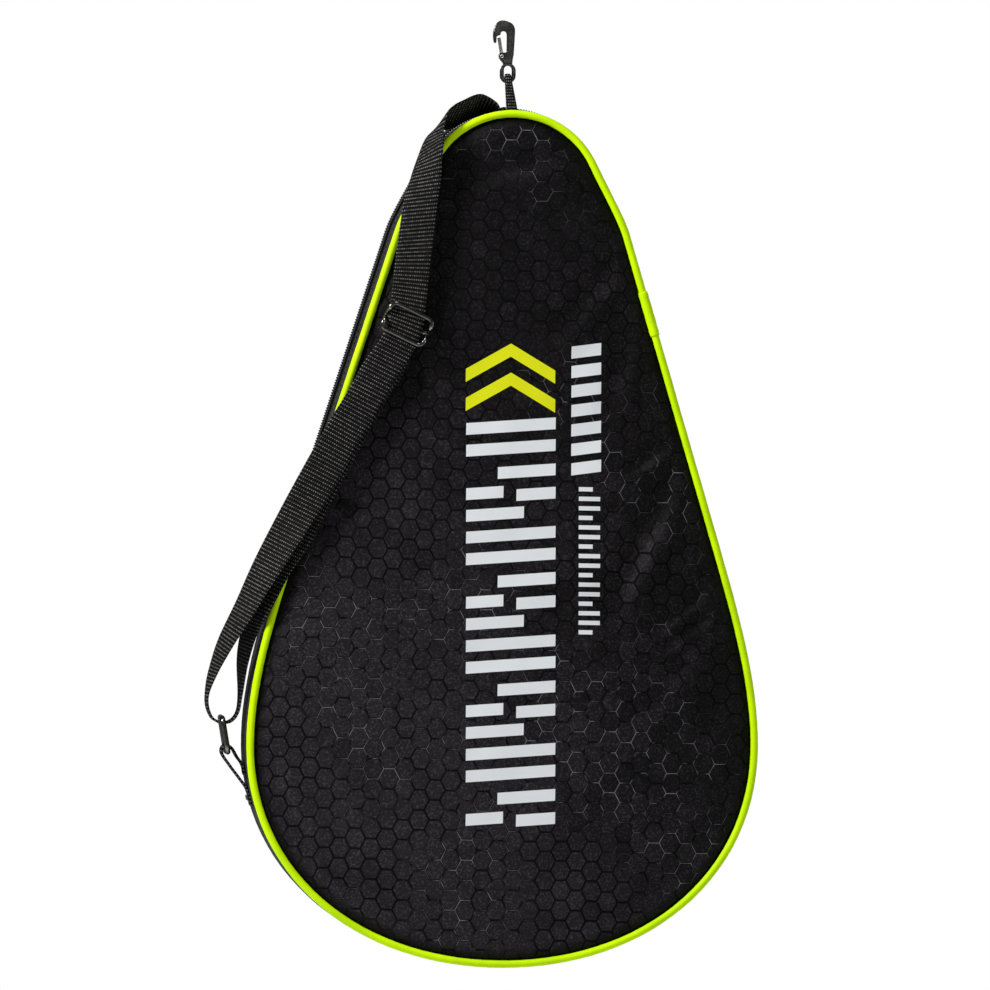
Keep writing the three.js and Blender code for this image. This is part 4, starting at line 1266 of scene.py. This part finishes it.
# ---------------------------------------------------------------- hang loop
EYE = (-3.1, -12.7, 479.3)
foot_z, top_z = 458.8, 478.3
lean_x = (EYE[0] + 0.4) / (top_z - foot_z)
side_legs = [(6.2, 0), (5.6, 0.22), (4.4, 0.5), (3.2, 0.75), (2.5, 0.9), (1.6, 0.98)]
legs = [(-y, r) for y, r in side_legs] + [(0, 1)] + side_legs[::-1]
loop_line = []
for y, r in legs:
    half = 2.45 - 0.8 * min(1.0, r / 0.9)
    rise = r * (top_z - foot_z)
    loop_line.append((-0.4 + rise * lean_x, EYE[1] + y, foot_z + rise, half))
loop_left = [(x - half, y, z) for x, y, z, half in loop_line]
loop_right = [(x + half, y, z) for x, y, z, half in loop_line]
hang_loop = webbing("hang_loop_braid", loop_left, loop_right, 1.4, 110, 8)
finish_piece(hang_loop, BRAID, "case", "braid", "hang_loop")


# ---------------------------------------------------------------- bar tacks
def bar_tack(name, start, end, out, width, node):
    """A dense zigzag of thread over a short line, as a sewing machine's bar tack leaves it."""
    start, end, out = np.array(start, float), np.array(end, float), np.array(out, float)
    along = (end - start) / np.linalg.norm(end - start)
    side = np.cross(along, out)
    count = int(np.linalg.norm(end - start) / 0.42)
    line = []
    for k in range(count + 1):
        hand = 1 if k % 2 else -1
        line.append(start + (end - start) * k / count + side * hand * width / 2 + out * 0.12)
        if k < count:
            line.append(start + (end - start) * (k + 0.5) / count + out * 0.32)
    line = np.array(line)
    rings = []
    tangent = np.gradient(line, axis=0)
    for p, d in zip(line, tangent):
        d = d / np.linalg.norm(d)
        a = np.cross(d, out)
        a /= np.linalg.norm(a)
        b = np.cross(a, d)
        angles = np.linspace(0, 2 * math.pi, 6, endpoint=False)
        rings.append(p + 0.24 * (np.cos(angles)[:, None] * a + np.sin(angles)[:, None] * b))
    obj = ring_loft(name, places(rings))
    return finish_piece(obj, THREAD, "case", "thread", node)


anchor_line = (-5.4, -19.5, 460.3), (-5.4, -3, 460.2)
bar_tack("strap_anchor_tack", *anchor_line, (0, 0, 1), 2.0, "strap_anchor_bartack")
tack_x = sewn(88, 0.5)[0] - 0.85
bar_tack("ring_tab_tack", (tack_x, -8.5, 88), (tack_x, 8.5, 88), (-0.97, 0, -0.23), 2.4, "ring_tab_bartack")


# ---------------------------------------------------------------- printed film marks
depsgraph = bpy.context.evaluated_depsgraph_get()
panel_tree = BVHTree.FromObject(front_panel, depsgraph)


def film_marks(name, outlines, colour):
    """Thin film pressed on the front panel, from outlines in case millimetres (x, z), as one piece."""
    verts, skin = [], []
    for outline in outlines:
        loop = np.array(outline, float)
        dense = []
        for p, q in zip(loop, np.roll(loop, -1, 0)):
            steps = max(1, int(np.linalg.norm(q - p) / 2.0))
            dense += [p + (q - p) * k / steps for k in range(steps)]
        flat, faces = filled_outline(np.array(dense), 2.2)
        base, count = len(verts), len(flat)
        top = []
        for x, z in flat:
            start = Vector(place(x, -80, z))
            hit = panel_tree.ray_cast(start, Vector((0, 1, 0)))[0]
            top.append((start.x, (hit.y if hit else place(0, -27, 0)[1]) - 0.0001, start.z))
        verts += top + [(x, y + 0.00035, z) for x, y, z in top]
        skin += [tuple(base + i for i in f) for f in faces]
        skin += [tuple(base + count + i for i in reversed(f)) for f in faces]
        skin += [(base + b, base + a, base + count + a, base + count + b) for a, b in edge_loop(faces)]
    obj = point_outwards(mesh_object(name, verts, skin))
    obj.data.set_sharp_from_angle(angle=math.radians(45))
    return finish_piece(obj, colour, "case", "shell_cloth")


COLUMN_TOP = 334.0
COLUMN_WIDTH = 48
CHEVRON = ((0, -21), (24, -7), (48, -21), (48, -14), (24, 0), (0, -14))


def print_edge(z):
    """Left edge of the printed column; it leans a little against the case's centre line."""
    return -24.1 + (COLUMN_TOP - z) * 0.0174


def slanted_stripe(start, end, low, high, slant=4.0):
    left = print_edge(high)
    climb = slant * (end - start) / COLUMN_WIDTH
    corners = (start, low), (end, low + climb), (end, high + climb), (start, high)
    return [(left + x, z) for x, z in corners]


# Two thin chevrons, then a column of plain slanted stripes, some of them broken.
chevrons = []
for tip in (COLUMN_TOP, COLUMN_TOP - 15.5):
    chevrons.append([(print_edge(tip) + x, tip + z) for x, z in CHEVRON])
film_marks("chevron_print", chevrons, YELLOW_FILM)
stripes = []
high = 291.0
for index in range(19):
    cuts = [[(0, 48)], [(0, 20), (27, 48)], [(0, 48)], [(0, 31)], [(17, 48)]][(index * 2) % 5]
    stripes += [slanted_stripe(a, b, high - 6.3, high) for a, b in cuts]
    high -= 11.6
film_marks("slanted_stripe_print", stripes, WHITE_FILM)
dashes = []
high = 333.0
for index in range(7):
    dashes.append(slanted_stripe(56.5, 72.5, high - 6.5, high, 7.0))
    high -= 10.4
high = 258.0
for index in range(16):
    dashes.append(slanted_stripe(60.5, 72.0 if index % 3 else 68.0, high - 2.3, high, 0.0))
    high -= 5.1
film_marks("side_dash_print", dashes, WHITE_FILM)

# ---------------------------------------------------------------- remove the pattern pieces
for obj in (STITCH, coil_front_turn, coil_flap_turn):
    bpy.data.objects.remove(obj)

# ---------------------------------------------------------------- floor, light and camera
floor_mesh = bpy.data.meshes.new("studio_floor")
FLOOR_Z = -0.66
floor_corners = [(x, y, FLOOR_Z) for x, y in ((-2.5, -2.5), (2.5, -2.5), (2.5, 2.0), (-2.5, 2.0))]
floor_mesh.from_pydata(floor_corners, [], [(0, 1, 2, 3)])
floor = bpy.data.objects.new("studio_floor", floor_mesh)
bpy.context.collection.objects.link(floor)
floor_material, n, shader = material("pale_floor", 0.9)
shader.inputs["Base Color"].default_value = (0.9, 0.9, 0.9, 1)
floor_mesh.materials.append(floor_material)

world = bpy.data.worlds.new("studio")
bpy.context.scene.world = world
world.use_nodes = True
studio = Nodes(world.node_tree)
soft_fill = world.node_tree.nodes["Background"]
soft_fill.inputs["Color"].default_value = (0.96, 0.98, 1.0, 1)
soft_fill.inputs["Strength"].default_value = 0.12
paper = studio.add("ShaderNodeBackground", Color=(1, 1, 1, 1), Strength=1.0)
seen = studio.add("ShaderNodeLightPath").outputs["Is Camera Ray"]
both = studio.add("ShaderNodeMixShader", _0=seen, _1=soft_fill.outputs[0], _2=paper.outputs[0])
world.node_tree.links.new(both.outputs[0], world.node_tree.nodes["World Output"].inputs["Surface"])
bpy.context.scene.view_settings.view_transform = "Standard"


def area_light(name, location, target, size, power):
    data = bpy.data.lights.new(name, "AREA")
    data.shape = "RECTANGLE"
    data.size, data.size_y = size
    data.energy = power
    lamp = bpy.data.objects.new(name, data)
    lamp.location = location
    lamp.rotation_euler = (Vector(target) - Vector(location)).to_track_quat("-Z", "Y").to_euler()
    bpy.context.collection.objects.link(lamp)


area_light("key_light", (-0.92, -0.46, 0.42), (0, 0, -0.25), (0.3, 0.4), 18)
area_light("top_light", (0.1, -0.35, 1.3), (0, 0, -0.2), (0.5, 0.4), 9)
area_light("glint_card", (0.19, -1.6, 0.1), (0, 0, 0), (0.03, 0.25), 0.07)
area_light("side_light", (1.5, -0.6, -0.1), (0, 0, -0.25), (0.3, 0.9), 3)

AZIMUTH = math.radians(-5.5)
DISTANCE = 4.0
camera_data = bpy.data.cameras.new("main_camera")
camera_data.sensor_width = 36
camera_data.lens = 272
camera = bpy.data.objects.new("main_camera", camera_data)
aim = Vector(place(-6.9, -25, 252.9))
back = Vector((math.sin(AZIMUTH), -math.cos(AZIMUTH), 0))
camera.location = aim + back * DISTANCE
turn = (-back).to_track_quat("-Z", "Y").to_matrix().to_4x4()
roll = Matrix.Rotation(math.radians(1.07), 4, "Z")
camera.matrix_world = Matrix.Translation(camera.location) @ turn @ roll
bpy.context.collection.objects.link(camera)
bpy.context.scene.camera = camera
